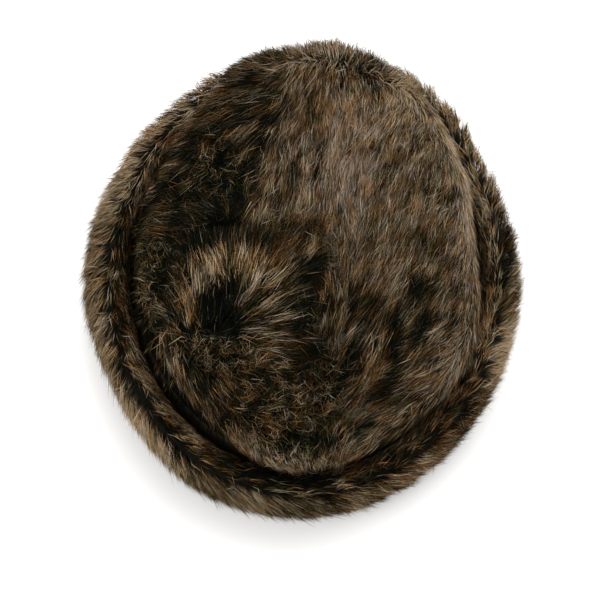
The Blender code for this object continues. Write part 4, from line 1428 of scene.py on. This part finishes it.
class FURHAT_OT_cuff_fur(bpy.types.Operator):
    """Grows the cuff's pile, which runs round the hat"""

    bl_idname = "furhat.cuff_fur"
    bl_label = "Cuff pile"

    def execute(self, context):
        pile = context.scene.furhat_pile
        material = fur_material("cuff_fur_pile", pile.roughness)
        sheet = cuff_sheet()
        crest_row = CUFF_LOWER_ROWS + CUFF_UPPER_ROWS - CREST_ROWS
        front = sheet.points[..., 1] < 0
        crest = (np.arange(sheet.points.shape[0]) >= crest_row)[:, None] * np.ones(front.shape)
        densities = {
            "cuff_fur_front": front * (1 - crest),
            "cuff_fur_back": (1 - front) * (1 - crest),
            "cuff_crest_fur": crest,
        }
        for number, (name, density) in enumerate(densities.items()):
            draw = np.random.default_rng(SEED + 10 + number)
            coat = Coat(sheet, STRANDS[name], draw, density, CUFF_LOCK)
            away = unit(coat.root * np.array((1.0, 1.0, 0.0)))
            around = np.stack((-away[:, 1], away[:, 0], 0 * away[:, 0]), axis=-1)
            outer = np.clip(OUTER_START + OUTER_GAIN * (coat.normal * away).sum(axis=1), 0.0, 1.0)
            lean = Lean(*(mix(a, b, outer)[:, None] for a, b in zip(CUFF_NAP_INNER, CUFF_NAP_OUTER)))
            flow = tangent(lean.around * around + lean.away * away + lean.down * DOWN, coat.normal)
            sway = mottle(coat.centre, SWAY_LENGTH, SEED + 11)[coat.lock]
            flow = turned(flow, coat.normal, CUFF_SWAY * sway)
            length = pile.cuff_length * mix(*CUFF_LENGTH, outer)
            lifts = [mix(*pair, outer) for pair in CUFF_LIFTS]
            coat.comb(flow, length, lifts, CUFF_JITTER, CUFF_CURL)
            coat.keep_above(CUFF_FLOOR)
            seen = coat.seen_at(CUFF_BLUR)
            azimuth = np.arctan2(seen[:, 1], seen[:, 0])
            out = np.hypot(seen[:, 0], seen[:, 1]) - head_radius(azimuth)
            out = out + PATCH_SHIFT * mottle(seen, HUE_BLOTCH, SEED + 6)
            # The tone patches hold painted shade and painted light; the stripe is the pile's own.
            tone = CUFF_TONE + band_sum(azimuth, out, CUFF_TONES_AND_PAINTED_LIGHT) - stripe_dark(azimuth, out)
            # The rim is lightened with painted light.
            tone = tone + PAINTED_RIM_LIGHT * np.clip((out - RIM_START) / RIM_WIDTH, 0.0, 1.0)
            tone = tone + CUFF_BLOTCHES * mottle(seen, TONE_BLOTCH, SEED + 2)
            tone = tone + CUFF_FINE_BLOTCHES * mottle(seen, FINE_BLOTCH, SEED + 3)
            warm = CUFF_WARM + band_sum(azimuth, out, CUFF_WARMS)
            warm = warm + HUE_SHIFT * mottle(seen, HUE_BLOTCH, SEED + 9)
            shares = dye_shares(tone, warm, CUFF_MAUVE, CUFF_OLIVE)
            coat.dye_and_painted_light(tone, *shares, CUFF_WIDTH * pile.strand_width, CUFF_TONES_VARY, CUFF_ALIKE)
            finish_piece(strand_object(name, coat), material, "cuff")
        return {"FINISHED"}


# The camera looks down on the hat from the front: its height above the floor's plane in degrees, its
# distance, the spot it aims at, and its lens.
CAMERA_RISE = math.radians(75)
CAMERA_AWAY = 1.3
CAMERA_AIM = Vector((-0.0019, -0.0151, 0.0560))
CAMERA_LENS = 142.3
SENSOR_WIDTH = 36.0

# The lights: the spot that they point at, and the place and width of each. The colour of the sky, how
# wide the floor is, and how dark its darkest grain is.
LIGHT_AIM = (0, 0, 0.06)
KEY_PLACE = (0.28, 0.45, 1.35)
KEY_SIZE = 1.2
FILL_PLACE = (-0.9, -0.5, 0.9)
FILL_SIZE = 0.8
SKY_COLOUR = (1.0, 0.99, 0.97, 1.0)
FLOOR_SIZE = 6.0
FLOOR_DIM = 0.985


def area_light(name, place, size, power):
    light = bpy.data.lights.new(name, "AREA")
    light.shape = "DISK"
    light.size = size
    light.energy = power
    lamp = bpy.data.objects.new(name, light)
    lamp.location = place
    lamp.rotation_euler = (Vector(LIGHT_AIM) - Vector(place)).to_track_quat("-Z", "Y").to_euler()
    bpy.context.scene.collection.objects.link(lamp)


class FURHAT_OT_stage(bpy.types.Operator):
    """Makes the pale floor, the soft lights and the camera"""

    bl_idname = "furhat.stage"
    bl_label = "Stage"

    def execute(self, context):
        stage = context.scene.furhat_stage
        deselect()
        bpy.ops.mesh.primitive_plane_add(size=FLOOR_SIZE)
        floor = added("floor")
        material, tree, shader = new_material("pale_floor", FLOOR_ROUGHNESS, FLOOR_SPECULAR)
        grain = add_node(tree, "ShaderNodeTexNoise", inputs={"Scale": 3.0, "Detail": 2.0})
        pale = tuple(stage.floor_colour)
        dim = tuple(c * FLOOR_DIM for c in pale)
        tint = ramp(tree, [(0.3, dim), (0.7, pale)], grain)
        tree.links.new(tint.socket, shader.inputs["Base Color"])
        floor.data.materials.append(material)
        area_light("key_light", KEY_PLACE, KEY_SIZE, stage.key_power)
        area_light("fill_light", FILL_PLACE, FILL_SIZE, stage.fill_power)
        world = bpy.data.worlds.new("studio_sky")
        world.use_nodes = True
        sky = world.node_tree.nodes["Background"]
        sky.inputs["Color"].default_value = SKY_COLOUR
        sky.inputs["Strength"].default_value = stage.sky
        context.scene.world = world
        context.scene.view_settings.view_transform = "Standard"
        camera = bpy.data.objects.new("camera", bpy.data.cameras.new("camera"))
        camera.data.lens = CAMERA_LENS
        camera.data.sensor_width = SENSOR_WIDTH
        back = Vector((0, -math.cos(CAMERA_RISE), math.sin(CAMERA_RISE)))
        camera.location = CAMERA_AIM + back * CAMERA_AWAY
        camera.rotation_euler = (math.pi / 2 - CAMERA_RISE, 0, 0)
        context.scene.collection.objects.link(camera)
        context.scene.camera = camera
        return {"FINISHED"}


class FURHAT_PT_panel(bpy.types.Panel):
    """Lists the steps that build the hat, and its sizes and colours"""

    bl_idname = "FURHAT_PT_panel"
    bl_label = "Fur Hat"
    bl_space_type = "VIEW_3D"
    bl_region_type = "UI"
    bl_category = "Fur Hat"

    def draw(self, context):
        for group, operators in PANEL_ROWS:
            box = self.layout.box()
            settings = getattr(context.scene, group)
            for key in settings.__annotations__:
                box.prop(settings, key)
            for operator in operators:
                box.operator(operator.bl_idname)


PANEL_ROWS = (
    ("furhat_backing", (FURHAT_OT_crown_pelt, FURHAT_OT_side_wall, FURHAT_OT_cuff_pelt)),
    ("furhat_pile", (FURHAT_OT_crown_fur, FURHAT_OT_cuff_fur)),
    ("furhat_stage", (FURHAT_OT_stage,)),
)
GROUPS = {
    "furhat_backing": FurHatBacking,
    "furhat_pile": FurHatPile,
    "furhat_stage": FurHatStage,
}
CLASSES = (
    FurHatBacking,
    FurHatPile,
    FurHatStage,
    FURHAT_OT_crown_pelt,
    FURHAT_OT_side_wall,
    FURHAT_OT_cuff_pelt,
    FURHAT_OT_crown_fur,
    FURHAT_OT_cuff_fur,
    FURHAT_OT_stage,
    FURHAT_PT_panel,
)


def register():
    for item in CLASSES:
        bpy.utils.register_class(item)
    for name, group in GROUPS.items():
        setattr(bpy.types.Scene, name, bpy.props.PointerProperty(type=group))


def unregister():
    for name in GROUPS:
        delattr(bpy.types.Scene, name)
    for item in reversed(CLASSES):
        bpy.utils.unregister_class(item)


def main():
    register()
    bpy.ops.furhat.crown_pelt()
    bpy.ops.furhat.side_wall()
    bpy.ops.furhat.cuff_pelt()
    bpy.ops.furhat.crown_fur()
    bpy.ops.furhat.cuff_fur()
    bpy.ops.furhat.stage()


if __name__ == "__main__":
    main()
